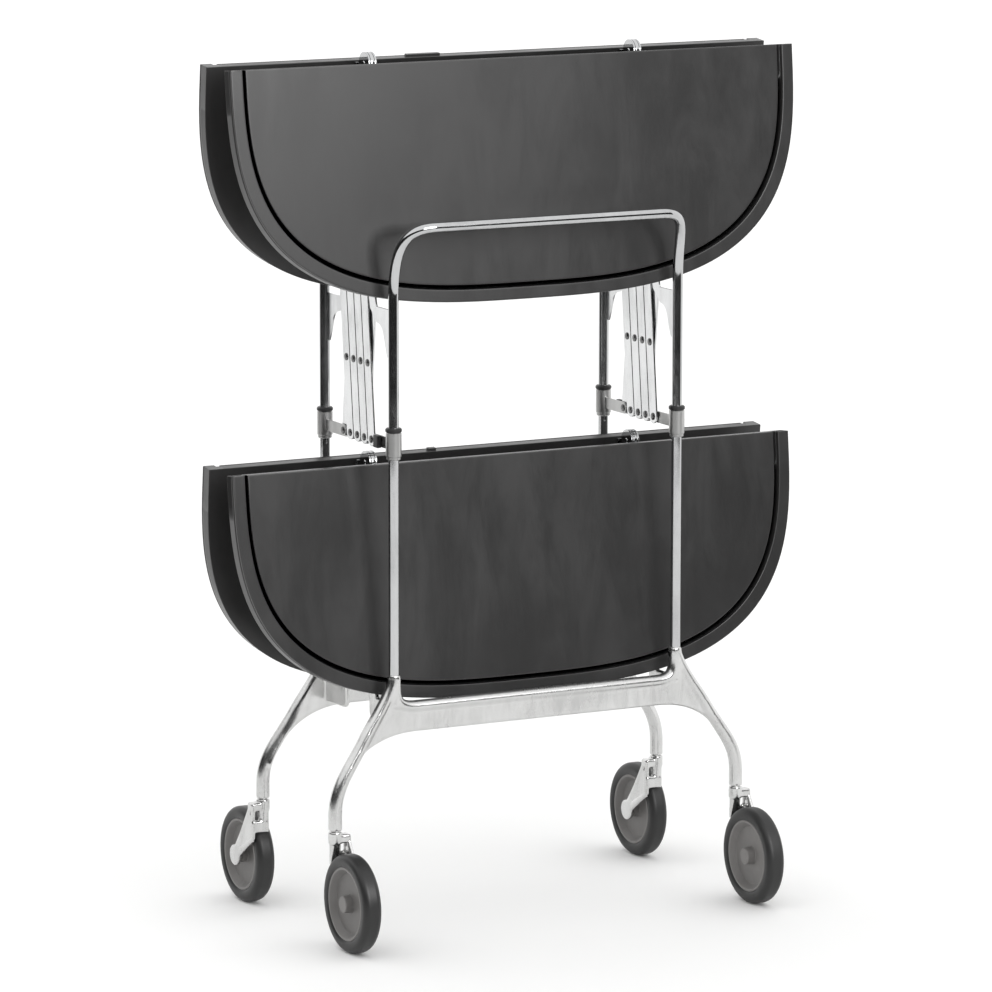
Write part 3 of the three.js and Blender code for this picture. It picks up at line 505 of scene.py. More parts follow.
def metal(name, colour, low, high, stretch, line_scale, line_depth, ripple, corner_shade_factor=0.35):
    """A bright metal with handling marks, polishing lines and, on a casting, a slow ripple."""
    tree, shader = bare_material(name)
    shader.inputs["Metallic"].default_value = 1.0
    marks = group_node(tree, "Handling marks",
                       {"Low": low, "High": high, "Patch Scale": 14.0, "Smear Scale": 90.0})
    tree.links.new(marks.outputs["Roughness"], shader.inputs["Roughness"])
    # The group pales rubbed edges as wear; concave corners get painted shade, their colour scaled
    # by the last argument.
    tone = group_node(tree, "Worn edges and painted shade", {
        "Colour": shade(colour, 1.0), "Worn": shade(colour, 1.12), "Corner Shade": shade(colour, corner_shade_factor),
        "Amount": 0.6})
    dulled = add(tree, "ShaderNodeMix", {7: shade(colour, 0.86)},
                 {0: marks.outputs["Mask"], 6: tone.outputs["Colour"]}, data_type="RGBA")
    tree.links.new(dulled.outputs[2], shader.inputs["Base Color"])
    lines = group_node(tree, "Polishing lines", {"Stretch": stretch, "Scale": line_scale})
    fine = add(tree, "ShaderNodeBump", {"Strength": line_depth, "Distance": 0.0002},
               {"Height": lines.outputs["Height"]})
    place = on_surface(tree)
    slow = add(tree, "ShaderNodeTexNoise", {"Scale": 55.0, "Detail": 2.0}, {"Vector": place})
    waves = add(tree, "ShaderNodeBump", {"Strength": ripple, "Distance": 0.0006},
                {"Height": slow.outputs["Fac"], "Normal": fine.outputs["Normal"]})
    tree.links.new(waves.outputs["Normal"], shader.inputs["Normal"])


def moulded(name, colour, low, high, worn, speckle_scale, speckle_depth, coat=0.0):
    """A plastic, rubber or laminate: an even colour with a fine texture, marks and rubbed edges."""
    tree, shader = bare_material(name)
    shader.inputs["Coat Weight"].default_value = coat
    shader.inputs["Coat Roughness"].default_value = 0.25
    marks = group_node(tree, "Handling marks",
                       {"Low": low, "High": high, "Patch Scale": 5.0, "Smear Scale": 22.0})
    tree.links.new(marks.outputs["Roughness"], shader.inputs["Roughness"])
    # The group pales rubbed edges as wear; concave corners get painted shade at 0.55 of the colour.
    tone = group_node(tree, "Worn edges and painted shade", {
        "Colour": shade(colour, 1.0), "Worn": shade(colour, worn), "Corner Shade": shade(colour, 0.55),
        "Amount": 0.8})
    dusty = add(tree, "ShaderNodeMix", {7: shade(colour, 1.35)},
                {0: marks.outputs["Mask"], 6: tone.outputs["Colour"]}, data_type="RGBA")
    tree.links.new(dusty.outputs[2], shader.inputs["Base Color"])
    place = on_surface(tree)
    speckle = add(tree, "ShaderNodeTexNoise", {"Scale": speckle_scale, "Detail": 3.0},
                  {"Vector": place})
    bump = add(tree, "ShaderNodeBump", {"Strength": speckle_depth, "Distance": 0.0003},
               {"Height": speckle.outputs["Fac"]})
    tree.links.new(bump.outputs["Normal"], shader.inputs["Normal"])


def make_materials(finishes):
    """Every finish on the trolley, by name."""
    handling_group()
    grain_group()
    worn_edge_and_shade_group()
    upright = (1.0, 1.0, 0.015)
    metal("chrome_plate", finishes.chrome, 0.05, 0.12, upright, 700.0, 0.03, 0.04)
    metal("polished_strip", finishes.steel, 0.12, 0.24, upright, 900.0, 0.10, 0.05)
    metal("polished_casting", finishes.casting, 0.19, 0.32, (0.3, 1.0, 1.0), 520.0, 0.12, 0.16)
    # The rivet steel's dark colour is painted shade, standing in for its domes' dark reflections.
    metal("rivet_steel", finishes.rivet, 0.18, 0.30, (1.0, 1.0, 1.0), 900.0, 0.04, 0.05, 0.2)
    metal("satin_collar", finishes.collar, 0.30, 0.42, (1.0, 1.0, 0.03), 1100.0, 0.16, 0.05)
    low = finishes.board_roughness
    moulded("black_laminate", finishes.board, low - 0.05, low + 0.07, 4.0, 1400.0, 0.10)
    moulded("black_moulding", finishes.black_plastic, 0.35, 0.5, 3.0, 1500.0, 0.15)
    moulded("wheel_moulding", finishes.wheel, 0.42, 0.58, 1.5, 1500.0, 0.12)
    moulded("tyre_rubber", finishes.rubber, 0.38, 0.56, 1.8, 1200.0, 0.15)


# ---------------------------------------------------------------- tray leaves

LEAF_HALF_WIDTH = 0.320
LEAF_DEPTH = 0.245
CURVE_POWER = 3.1
EAR_THICKNESS = 0.003
EAR_RADIUS = 0.0063
EAR_OFFSET = 0.0028
TONGUES = {"upper": (-0.077, 0.038), "lower": (-0.067, 0.009)}
TONGUE_REACH, TONGUE_ROOT, TONGUE_LOW, TONGUE_HIGH = 0.0022, 0.006, 0.003, 0.0085
OUTLINE_TEST = 0.97
EDGE_BAND = 0.0009
SEAM = 0.0011


def leaf_edge(half_width, depth, ridge, steps):
    """Points of a leaf's curved edge, from one end of the ridge round to the other."""
    points = []
    for i in range(steps + 1):
        turn = pi * i / steps
        across = copysign(abs(cos(turn)) ** (2 / CURVE_POWER), cos(turn))
        down = abs(sin(turn)) ** (2 / CURVE_POWER)
        points.append(Vector((half_width * across, EAR_REACH - depth * down)))
    points[0].y = ridge
    points[-1].y = ridge
    return points


def on_outline(vert):
    """Whether a vertex is on a leaf's outer edge."""
    across = (abs(vert.co.x) / LEAF_HALF_WIDTH) ** CURVE_POWER
    return across + ((EAR_REACH - vert.co.y) / LEAF_DEPTH) ** CURVE_POWER > OUTLINE_TEST


def raise_in_steps(bm, faces, steps):
    """Pulls faces up by each step in turn, so that a rubbed edge stays narrow."""
    for step in steps:
        faces = extrude(bm, faces, Vector((0, 0, step)))
    return faces


def seam_line(bm, rim, ridge):
    """Cuts the fine line that runs round the outer edge under the rim's lip."""
    inward = Vector((1 - SEAM / LEAF_HALF_WIDTH, 1 - SEAM / LEAF_DEPTH, 1))
    outward = Vector((1 / inward.x, 1 / inward.y, 1))
    for scale, lift in ((inward, SEAM * 0.3), (None, SEAM * 0.6), (outward, SEAM * 0.3)):
        rim = extrude(bm, rim, Vector((0, 0, lift)))
        if scale:
            edge = {v for f in rim for v in f.verts if on_outline(v)}
            bmesh.ops.scale(bm, vec=scale, space=Matrix.Translation((0, -ridge, 0)),
                            verts=list(edge))
    return rim


def leaf_board(bm, sizes, steps):
    """The board of a leaf: a panel, a channel round it, and a rim with a line under its lip."""
    ridge = EAR_REACH - RIDGE_GAP
    insets = (0, sizes.rim_width, sizes.rim_width + sizes.channel_width)
    lines = [leaf_edge(LEAF_HALF_WIDTH - i, LEAF_DEPTH - i, ridge, steps) for i in insets]
    rows = [[bm.verts.new((p.x, p.y, EAR_DROP)) for p in line] for line in lines]
    chains = [[bm.edges.new(pair) for pair in zip(row, row[1:])] for row in rows]
    for outer, inner in zip(chains, chains[1:]):
        bmesh.ops.bridge_loops(bm, edges=outer + inner)
    bm.faces.new(rows[2])
    bmesh.ops.recalc_face_normals(bm, faces=bm.faces)
    depth = sizes.channel_depth
    floor = sizes.panel_thickness - depth
    top = raise_in_steps(bm, bm.faces[:], (EDGE_BAND, floor - 2 * EDGE_BAND, EDGE_BAND))
    rim = [f for f in top if sum(on_outline(v) for v in f.verts) > 1]
    panel = [f for f in top if len(f.verts) > 4]
    panel = raise_in_steps(bm, panel, (depth - EDGE_BAND, EDGE_BAND))
    rim = raise_in_steps(bm, rim, (depth - SEAM,))
    rim = seam_line(bm, rim, ridge)
    rim = raise_in_steps(bm, rim, (sizes.rim_rise - 0.2 * SEAM,))
    for faces in (rim, panel):
        bmesh.ops.inset_region(bm, faces=faces, thickness=2 * EDGE_BAND, use_even_offset=True,
                               use_boundary=True)
    bmesh.ops.recalc_face_normals(bm, faces=bm.faces)
    bevel_sharp(bm, bm.verts, 0.0006, 2, 55.0)


def leaf_ear(bm, x, width):
    """A pivot lug under a leaf, between two values of X, with the boss round its pin."""
    outline = [(EAR_RADIUS + 0.010, EAR_DROP + 0.0005), (-EAR_RADIUS + 0.0015, EAR_DROP + 0.0005)]
    outline += arc((0, 0), EAR_RADIUS, 180, 360, 14)
    plate(bm, outline, x, x + width, edge=0.0004)


def leaf_tongue(bm, deck, end):
    """The locating tongue that stands out of a back leaf's ridge."""
    centre, width = TONGUES[deck]
    centre *= -1
    low = (centre - width / 2, EAR_REACH - TONGUE_ROOT, EAR_DROP + TONGUE_LOW)
    high = (centre + width / 2, EAR_REACH + TONGUE_REACH, EAR_DROP + TONGUE_HIGH)
    if end == "back":
        box_piece(bm, low, high, 0.0006)


def leaf_place(deck, end):
    """From a leaf's own frame to where it hangs when the trolley is folded."""
    pin = UPPER_PIN if deck == "upper" else LOWER_PIN
    place = Matrix.Translation(pin) @ Matrix.Rotation(pi / 2 - LEAF_TILT, 4, "X")
    return HALF_TURN @ place if end == "back" else place


class TROLLEY_OT_tray_leaves(Operator):
    """Builds the four black tray leaves with their rims, pivot lugs and locating tongues"""
    bl_idname = "trolley.tray_leaves"
    bl_label = "Tray leaves"

    def execute(self, context):
        sizes = context.scene.trolley_sizes
        steps = context.scene.trolley_studio.curve_steps
        for deck in ("upper", "lower"):
            for end in ENDS:
                bm = bmesh.new()
                leaf_board(bm, sizes, steps)
                outer = TUBE_X - EAR_OFFSET
                leaf_ear(bm, outer - EAR_THICKNESS, EAR_THICKNESS)
                leaf_ear(bm, -outer, EAR_THICKNESS)
                leaf_tongue(bm, deck, end)
                bmesh.ops.transform(bm, matrix=leaf_place(deck, end), verts=bm.verts)
                finished(f"{deck}_{end}_tray_leaf", bm, "black_laminate",
                         f"{deck}_{end}_tray", [f"{deck}_{end}_leaf"])
        return {"FINISHED"}


# ---------------------------------------------------------------- ridge hinges

HINGE_WIDTH = 0.009
KNUCKLE_RADIUS = 0.0118
HINGE_PLATE = 0.0022
HINGE_FOOT = 0.028
HINGE_SLOPE = 0.017
HINGE_CLEARANCE = 0.0003
HINGE_SCREW = 0.0045        # middle of the screw, from the foot's far end
FOOT_TOP = EAR_DROP - HINGE_CLEARANCE
FOOT_END = EAR_REACH - RIDGE_GAP - 0.0015


def hinge_lug(bm, x0, x1):
    """A lug that rises from the foot and rounds the ridge pin."""
    outline = [(FOOT_END, FOOT_TOP - 0.0005), (FOOT_END - HINGE_SLOPE, FOOT_TOP - 0.0005)]
    outline += arc((EAR_REACH, RIDGE_OFFSET), KNUCKLE_RADIUS, 216, 459, 22)
    plate(bm, outline, x0, x1, edge=0.00045)


def hinge_half(bm, is_fork):
    """A hinge half in its leaf's frame: a foot with two lugs and the pin, or with one lug."""
    half = HINGE_WIDTH / 2
    box_piece(bm, (-half, FOOT_END - HINGE_FOOT, FOOT_TOP - HINGE_PLATE),
              (half, FOOT_END, FOOT_TOP), 0.0005)
    screw = Vector((0, FOOT_END - HINGE_FOOT + HINGE_SCREW, FOOT_TOP - HINGE_PLATE))
    turned(bm, [(0, 0.0009), (0.0018, 0.0008), (0.0026, 0.0002), (0.0026, -0.0006), (0, -0.0006)],
           Matrix.Translation(screw) @ Matrix.Rotation(pi / 2, 4, "Y"), 16)
    if not is_fork:
        inner = half - HINGE_PLATE - HINGE_CLEARANCE
        hinge_lug(bm, -inner, inner)
        return
    hinge_lug(bm, -half, -half + HINGE_PLATE)
    hinge_lug(bm, half - HINGE_PLATE, half)
    pin = Matrix.Translation((0, EAR_REACH, RIDGE_OFFSET))
    reach = half + 0.0007
    turned(bm, [(0, -reach), (0.0021, -reach), (0.0027, -reach + 0.0006), (0.0027, reach - 0.0006),
                (0.0021, reach), (0, reach)], pin, 20)


class TROLLEY_OT_ridge_hinges(Operator):
    """Builds the small chromed hinges that join the leaves of each deck along the ridge"""
    bl_idname = "trolley.ridge_hinges"
    bl_label = "Ridge hinges"

    def execute(self, context):
        for deck in ("upper", "lower"):
            for end in ENDS:
                part = "fork" if end == "front" else "tongue"
                for side in (LEFT, RIGHT):
                    bm = bmesh.new()
                    hinge_half(bm, end == "front")
                    turn = -1 if end == "back" else 1
                    across = Matrix.Translation((side * turn * HINGE_X, 0, 0))
                    place = leaf_place(deck, end) @ across
                    bmesh.ops.transform(bm, matrix=place, verts=bm.verts)
                    node = f"{deck}_{SIDE_NAMES[side]}_hinge_{part}"
                    finished(f"{node}_plated", bm, "chrome_plate",
                             f"{deck}_{end}_tray", [node])
        return {"FINISHED"}


# ---------------------------------------------------------------- handle tubes

TUBE_BASE_Z = 0.246
BEND_START_Z = 0.650
HANDLE_Z = 0.724
HANDLE_REACH = 0.025
HANDLE_BEND = 0.034
BEND_PULL = 0.055
BEND_STEPS = 26


def handle_line():
    """The centre line of the front handle, up one side, across and down the other."""
    out = TUBE_Y - HANDLE_REACH
    line = [Vector((-TUBE_X, TUBE_Y, TUBE_BASE_Z)), Vector((-TUBE_X, TUBE_Y, 0.45))]
    bend = interpolate_bezier(
        (-TUBE_X, TUBE_Y, BEND_START_Z), (-TUBE_X, TUBE_Y, BEND_START_Z + BEND_PULL),
        (-TUBE_X, out, HANDLE_Z), (-TUBE_X + HANDLE_BEND, out, HANDLE_Z), BEND_STEPS)
    line += [Vector(p) for p in bend]
    mirrored = [Vector((-p.x, p.y, p.z)) for p in reversed(line)]
    return line + [Vector((0, out, HANDLE_Z))] + mirrored


class TROLLEY_OT_handles(Operator):
    """Builds the two chromed handle tubes, each bent from one length"""
    bl_idname = "trolley.handles"
    bl_label = "Handle tubes"

    def execute(self, context):
        radius = context.scene.trolley_sizes.tube_radius
        for end in ENDS:
            bm = bmesh.new()
            sweep(bm, handle_line(), (radius, radius), 40)
            for_end(bm, end)
            finished(f"{end}_handle", bm, "chrome_plate",
                     f"{end}_frame", [f"{end}_handle_tube"])
        return {"FINISHED"}


# ---------------------------------------------------------------- base castings

CASTING_DEPTH = 0.014
CROSSBAR_TOP = 0.241
CROSSBAR_BOTTOM = 0.2095
SOCKET_TOP = 0.270
SOCKET_RADIUS = 0.0067
LUG_THICKNESS = 0.0045
LUG_LOW, LUG_HIGH = 0.215, 0.239
LUG_CORNER = 0.0083
SOCKET_BASE = 0.236
STEM_BOTTOM = 0.117
CASTING_VOXEL = 0.00115
CAST_SHARP = 70.0           # degrees: only edges sharper than this stay sharp on a casting
PIN_RADIUS = 0.0025
PIN_REACH = EAR_OFFSET + EAR_THICKNESS + 0.0003
RIVET_HEIGHT = 0.0013


def bezier(points, steps):
    """Points of one cubic curve in the plane of the casting."""
    solid = [Vector((x, 0, z)) for x, z in points]
    return [Vector((p.x, p.z)) for p in interpolate_bezier(*solid, steps)]


def top_bead_line(bead):
    """The middle of the bead, from the left socket, along the crossbar, to the right one."""
    inner = TUBE_X - 0.0012
    level = CROSSBAR_TOP - bead
    corner = bezier([(inner, SOCKET_TOP - 0.012), (inner, level + 0.004),
                     (inner - 0.006, level), (inner - 0.024, level)], 12)
    right = [Vector((inner, SOCKET_TOP - 0.003))] + corner
    mirrored = [Vector((-p.x, p.y)) for p in reversed(right)]
    return right + mirrored


def leg_line():
    """The middle of the outer bead of the right leg, from the socket down to the stem."""
    knee = (TUBE_X + 0.0345, CROSSBAR_BOTTOM - 0.003)
    upper = bezier([(TUBE_X + 0.0005, SOCKET_TOP - 0.004), (TUBE_X + 0.004, SOCKET_TOP - 0.022),
                    (TUBE_X + 0.023, SOCKET_TOP - 0.045), knee], 12)
    lower = bezier([knee, (TUBE_X + 0.0525, CROSSBAR_BOTTOM - 0.034),
                    (SWIVEL.x, STEM_BOTTOM + 0.046), (SWIVEL.x, STEM_BOTTOM + 0.016)], 16)
    return upper + lower[1:]


def web_outline():
    """The flat web of the right half, between the bead, the leg's bead and the arch below."""
    stem_inner = SWIVEL.x - 0.004
    top = CROSSBAR_TOP - 0.007
    outline = [Vector((0, top)), Vector((TUBE_X - 0.030, top))]
    outline += bezier([(TUBE_X - 0.018, top), (TUBE_X - 0.008, top + 0.001),
                       (TUBE_X - 0.005, top + 0.010), (TUBE_X - 0.004, SOCKET_TOP - 0.002)], 8)
    outline += [Vector((TUBE_X + 0.004, SOCKET_TOP - 0.002))]
    outline += leg_line()[2:-4]
    outline += bezier([(stem_inner, STEM_BOTTOM + 0.030), (stem_inner - 0.008, STEM_BOTTOM + 0.064),
                       (stem_inner - 0.040, CROSSBAR_BOTTOM),
                       (stem_inner - 0.086, CROSSBAR_BOTTOM)], 18)
    outline += [Vector((0, CROSSBAR_BOTTOM))]
    return outline


def casting_half(bm, sizes, side):
    """Half of a base casting as overlapping shells: web, leg, stem, socket and pivot lug."""
    half = sizes.web_thickness / 2
    web = [(side * p.x, p.y) for p in web_outline()]
    plate(bm, web, TUBE_Y - half, TUBE_Y + half, "Y", 0.0022, 3)
    points = []
    widths = []
    line = leg_line()
    for i, p in enumerate(line):
        share = i / (len(line) - 1)
        drift = share * share * (3 - 2 * share)
        points.append(Vector((side * p.x, TUBE_Y + (SWIVEL.y - TUBE_Y) * drift, p.y)))
        across = 0.0066 + (sizes.stem_radius - 0.0066) * share
        widths.append((across, 0.0056 + (sizes.stem_radius - 0.0056) * share))
    points.append(Vector((side * SWIVEL.x, SWIVEL.y, STEM_BOTTOM)))
    widths.append((sizes.stem_radius, sizes.stem_radius))
    sweep(bm, points, widths)
    socket = [(0, SOCKET_BASE), (SOCKET_RADIUS, SOCKET_BASE), (SOCKET_RADIUS, SOCKET_TOP - 0.0014),
              (SOCKET_RADIUS - 0.0008, SOCKET_TOP - 0.0002), (0, SOCKET_TOP - 0.0002)]
    turned(bm, socket, along_z(side * TUBE_X, TUBE_Y))
    lug = [(TUBE_Y, LUG_LOW), (UPPER_PIN.y - 0.002, LUG_LOW)]
    lug += arc((UPPER_PIN.y - 0.002, LUG_LOW + LUG_CORNER), LUG_CORNER, -90, 0, 8)
    lug += arc((UPPER_PIN.y, LOWER_PIN.z), EAR_RADIUS, 0, 180, 12)
    lug += [(UPPER_PIN.y - EAR_RADIUS - 0.004, LUG_HIGH), (TUBE_Y, LUG_HIGH)]
    x = side * TUBE_X
    plate(bm, lug, x - LUG_THICKNESS / 2, x + LUG_THICKNESS / 2, edge=0.0006)


def pivot_pin(bm, x, y, z, reach, sizes):
    """A pin across a leaf's pivot, with a domed head at each end."""
    rod(bm, PIN_RADIUS, -reach, reach, Matrix.Translation((x, y, z)), 16)
    for outward in (LEFT, RIGHT):
        head(bm, x + outward * reach, y, z, sizes.rivet_radius, RIVET_HEIGHT, outward)


class TROLLEY_OT_base_castings(Operator):
    """Builds the two cast aluminium bases with their beads, webs, legs and sockets"""
    bl_idname = "trolley.base_castings"
    bl_label = "Base castings"

    def execute(self, context):
        sizes = context.scene.trolley_sizes
        for end in ENDS:
            bm = bmesh.new()
            for side in (LEFT, RIGHT):
                casting_half(bm, sizes, side)
            bead = sizes.bead_radius
            line = [Vector((p.x, TUBE_Y, p.y)) for p in top_bead_line(bead)]
            sweep(bm, line, (CASTING_DEPTH / 2, bead))
            bm = cast(bm, CASTING_VOXEL, 5)
            for side in (LEFT, RIGHT):
                pivot_pin(bm, side * TUBE_X, UPPER_PIN.y, LOWER_PIN.z, PIN_REACH, sizes)
            for_end(bm, end)
            finished(f"{end}_base", bm, "polished_casting",
                     f"{end}_frame", [f"{end}_base_casting"], sharp=CAST_SHARP)
        return {"FINISHED"}


# ---------------------------------------------------------------- brackets, collars and catches

LAYER_GAP = 0.0003
STRIP_EDGE = 0.00035        # rounding of the flat strips' edges
BRACKET_DROP = 0.066        # upper leaf pin to the bracket's low end
BRACKET_SHOULDER = 0.017
COLLAR_BELOW, COLLAR_ABOVE = 0.0145, 0.0135
ARM_RADIUS = 0.006
RING_RADIUS, RING_HEIGHT = 0.0084, 0.004
CATCH_OFFSET = 0.032
CATCH_SIZE = (0.005, 0.010, 0.013)


def bracket_outline(near):
    """The bracket in Y and Z: a long tab up the tube, a cove, and the eye round the leaf's pin."""
    z = UPPER_PIN.z
    line = [Vector((TUBE_Y + near, z - BRACKET_DROP))]
    line += bezier([(TUBE_Y + near + 0.005, z - BRACKET_DROP), (TUBE_Y + near + 0.0144, z - 0.048),
                    (TUBE_Y + near + 0.0114, z - 0.0345), (TUBE_Y + near + 0.0284, z - 0.033)], 16)
    line += [Vector((UPPER_PIN.y + 0.002, z - 0.020))]
    line += arc((UPPER_PIN.y, z), EAR_RADIUS, 0, 180, 12)
    line += [Vector((UPPER_PIN.y - EAR_RADIUS - 0.006, z - BRACKET_SHOULDER)),
             Vector((TUBE_Y + near, z - BRACKET_SHOULDER))]
    return line


class TROLLEY_OT_brackets(Operator):
    """Builds the polished brackets beside the uprights, with the pins the upper leaves hang from"""
    bl_idname = "trolley.brackets"
    bl_label = "Brackets"

    def execute(self, context):
        sizes = context.scene.trolley_sizes
        for end in ENDS:
            for side in (LEFT, RIGHT):
                bm = bmesh.new()
                outline = bracket_outline(sizes.tube_radius - 0.0003)
                x = side * TUBE_X
                inner = x - LAYER_GAP
                plate(bm, outline, inner - sizes.bar_thickness, inner, edge=STRIP_EDGE)
                pivot_pin(bm, x, UPPER_PIN.y, UPPER_PIN.z, PIN_REACH, sizes)
                for_end(bm, end)
                name = f"{end}_{side_at(end, side)}_bracket"
                finished(f"{name}_plate", bm, "polished_strip",
                         f"{end}_frame", [name])
        return {"FINISHED"}


def collar(bm, sizes, x):
    """A sliding collar with chamfered ends, and the flat arm that the tongs' bottom pivot is on."""
    low, high = ARM_Z - COLLAR_BELOW, ARM_Z + COLLAR_ABOVE
    bore = sizes.tube_radius + 0.0002
    wide = sizes.collar_radius
    profile = [(bore, low), (wide - 0.0016, low), (wide - 0.0008, low + 0.0008),
               (wide - 0.0008, low + 0.0030), (wide, low + 0.0038), (wide, high - 0.0008),
               (wide - 0.0008, high), (bore, high), (bore, low)]
    turned(bm, profile, along_z(x, TUBE_Y), 40)
    start = TUBE_Y + sizes.tube_radius + 0.0013
    outline = [(start, ARM_Z - ARM_RADIUS)]
    outline += arc((UPPER_PIN.y, ARM_Z), ARM_RADIUS, -90, 90, 12)
    outline += [(start, ARM_Z + ARM_RADIUS)]
    face = x + LAYER_GAP + sizes.bar_thickness
    plate(bm, outline, x + LAYER_GAP, face, edge=STRIP_EDGE)
    head(bm, face, UPPER_PIN.y, ARM_Z, sizes.rivet_radius, RIVET_HEIGHT, RIGHT)


class TROLLEY_OT_collars(Operator):
    """Builds the collars that slide on the uprights, their black rings and the catch blocks"""
    bl_idname = "trolley.collars"
    bl_label = "Collars, rings and catches"

    def execute(self, context):
        sizes = context.scene.trolley_sizes
        for end in ENDS:
            body = f"{end}_collars"
            for side in (LEFT, RIGHT):
                x = side * TUBE_X
                name = f"{end}_{side_at(end, side)}_collar"
                bm = bmesh.new()
                collar(bm, sizes, x)
                for_end(bm, end)
                finished(f"{name}_sleeve", bm, "satin_collar",
                         body, [name])
                bm = bmesh.new()
                bore = sizes.tube_radius + 0.0001
                top = RING_BASE_Z + RING_HEIGHT
                turned(bm, [(bore, RING_BASE_Z), (RING_RADIUS - 0.0006, RING_BASE_Z),
                            (RING_RADIUS, RING_BASE_Z + 0.0008), (RING_RADIUS, top - 0.0012),
                            (RING_RADIUS - 0.0011, top), (bore, top), (bore, RING_BASE_Z)],
                       along_z(x, TUBE_Y), 40)
                for_end(bm, end)
                finished(f"{name}_ring_moulding", bm, "black_moulding",
                         body, [f"{name}_ring"])
            bm = bmesh.new()
            y = TUBE_Y + CATCH_OFFSET
            x = LEFT * TUBE_X
            half_y, half_z = CATCH_SIZE[1] / 2, CATCH_SIZE[2] / 2
            box_piece(bm, (x - CATCH_SIZE[0], y - half_y, ARM_Z - half_z),
                      (x, y + half_y, ARM_Z + half_z), 0.0012, 3)
            for_end(bm, end)
            finished(f"{end}_catch_moulding", bm, "black_moulding",
                     body, [f"{end}_catch_block"])
        return {"FINISHED"}


# ---------------------------------------------------------------- lazy tongs


def tong_bar(bm, sizes, rising, number):
    """One bar with its top pivot at the origin, hanging straight down, and its rivets."""
    half = sizes.bar_width / 2
    layer = -1 if rising else 1
    outline = arc((0, 0), half, 0, 180, 16) + arc((0, -BAR_LENGTH), half, 180, 360, 16)
    near, far = layer * LAYER_GAP, layer * (LAYER_GAP + sizes.bar_thickness)
    plate(bm, outline, min(near, far), max(near, far), edge=0.0003)
    opened = CROSSES // 2
    for row, z in enumerate((0, -BAR_LENGTH / 2, -BAR_LENGTH)):
        on_frame = row == 0 and number == (CROSSES if rising else 1)
        if rising:
            alone = (row == 0 and number == opened) or (row == 2 and number in (1, opened + 1))
        else:
            alone = ((row == 0 and number == opened + 1)
                     or (row == 2 and number in (opened, CROSSES)))
        if on_frame or (not rising and not alone):
            continue
        sides = (layer,) if alone else (LEFT, RIGHT)
        for outward in sides:
            face = outward * (LAYER_GAP + sizes.bar_thickness)
            head(bm, face, 0, z, sizes.rivet_radius, RIVET_HEIGHT, outward)


class TROLLEY_OT_lazy_tongs(Operator):
    """Builds the sixteen riveted bars of the two lazy tongs"""
    bl_idname = "trolley.lazy_tongs"
    bl_label = "Lazy tongs"

    def execute(self, context):
        sizes = context.scene.trolley_sizes
        for side in (LEFT, RIGHT):
            for number in range(1, CROSSES + 1):
                for kind in ("falling", "rising"):
                    rising = kind == "rising"
                    bm = bmesh.new()
                    tong_bar(bm, sizes, rising, number)
                    lean = -BAR_LEAN if rising else BAR_LEAN
                    step = number if rising else number - 1
                    pivot = (side * TUBE_X, TOP_PIVOT.y + step * PITCH, TOP_PIVOT.z)
                    place = Matrix.Translation(pivot) @ Matrix.Rotation(lean, 4, "X")
                    bmesh.ops.transform(bm, matrix=place, verts=bm.verts)
                    node = f"{SIDE_NAMES[side]}_{kind}_bar_{number}"
                    finished(f"{node}_strip", bm, "polished_strip",
                             f"{kind}_bars_{number}", [node])
        return {"FINISHED"}


# ---------------------------------------------------------------- casters and wheels

FORK_GAP = 0.0009
FORK_PLATE = 0.0046
FORK_TOP = STEM_BOTTOM - 0.001
TYRE_BORE = 0.0375
HUB_RADIUS = 0.0086
WEB_HALF = 0.0025
CASTER_VOXEL = 0.0008
POST_LENGTH = 0.0345        # the post under the swivel ends this far below the fork's top
AXLE_RADIUS = 0.004
SWIVEL_RADIUS = 0.0042
TYRE_SHOULDER = 0.0065      # radius of the tyre's rounded shoulders


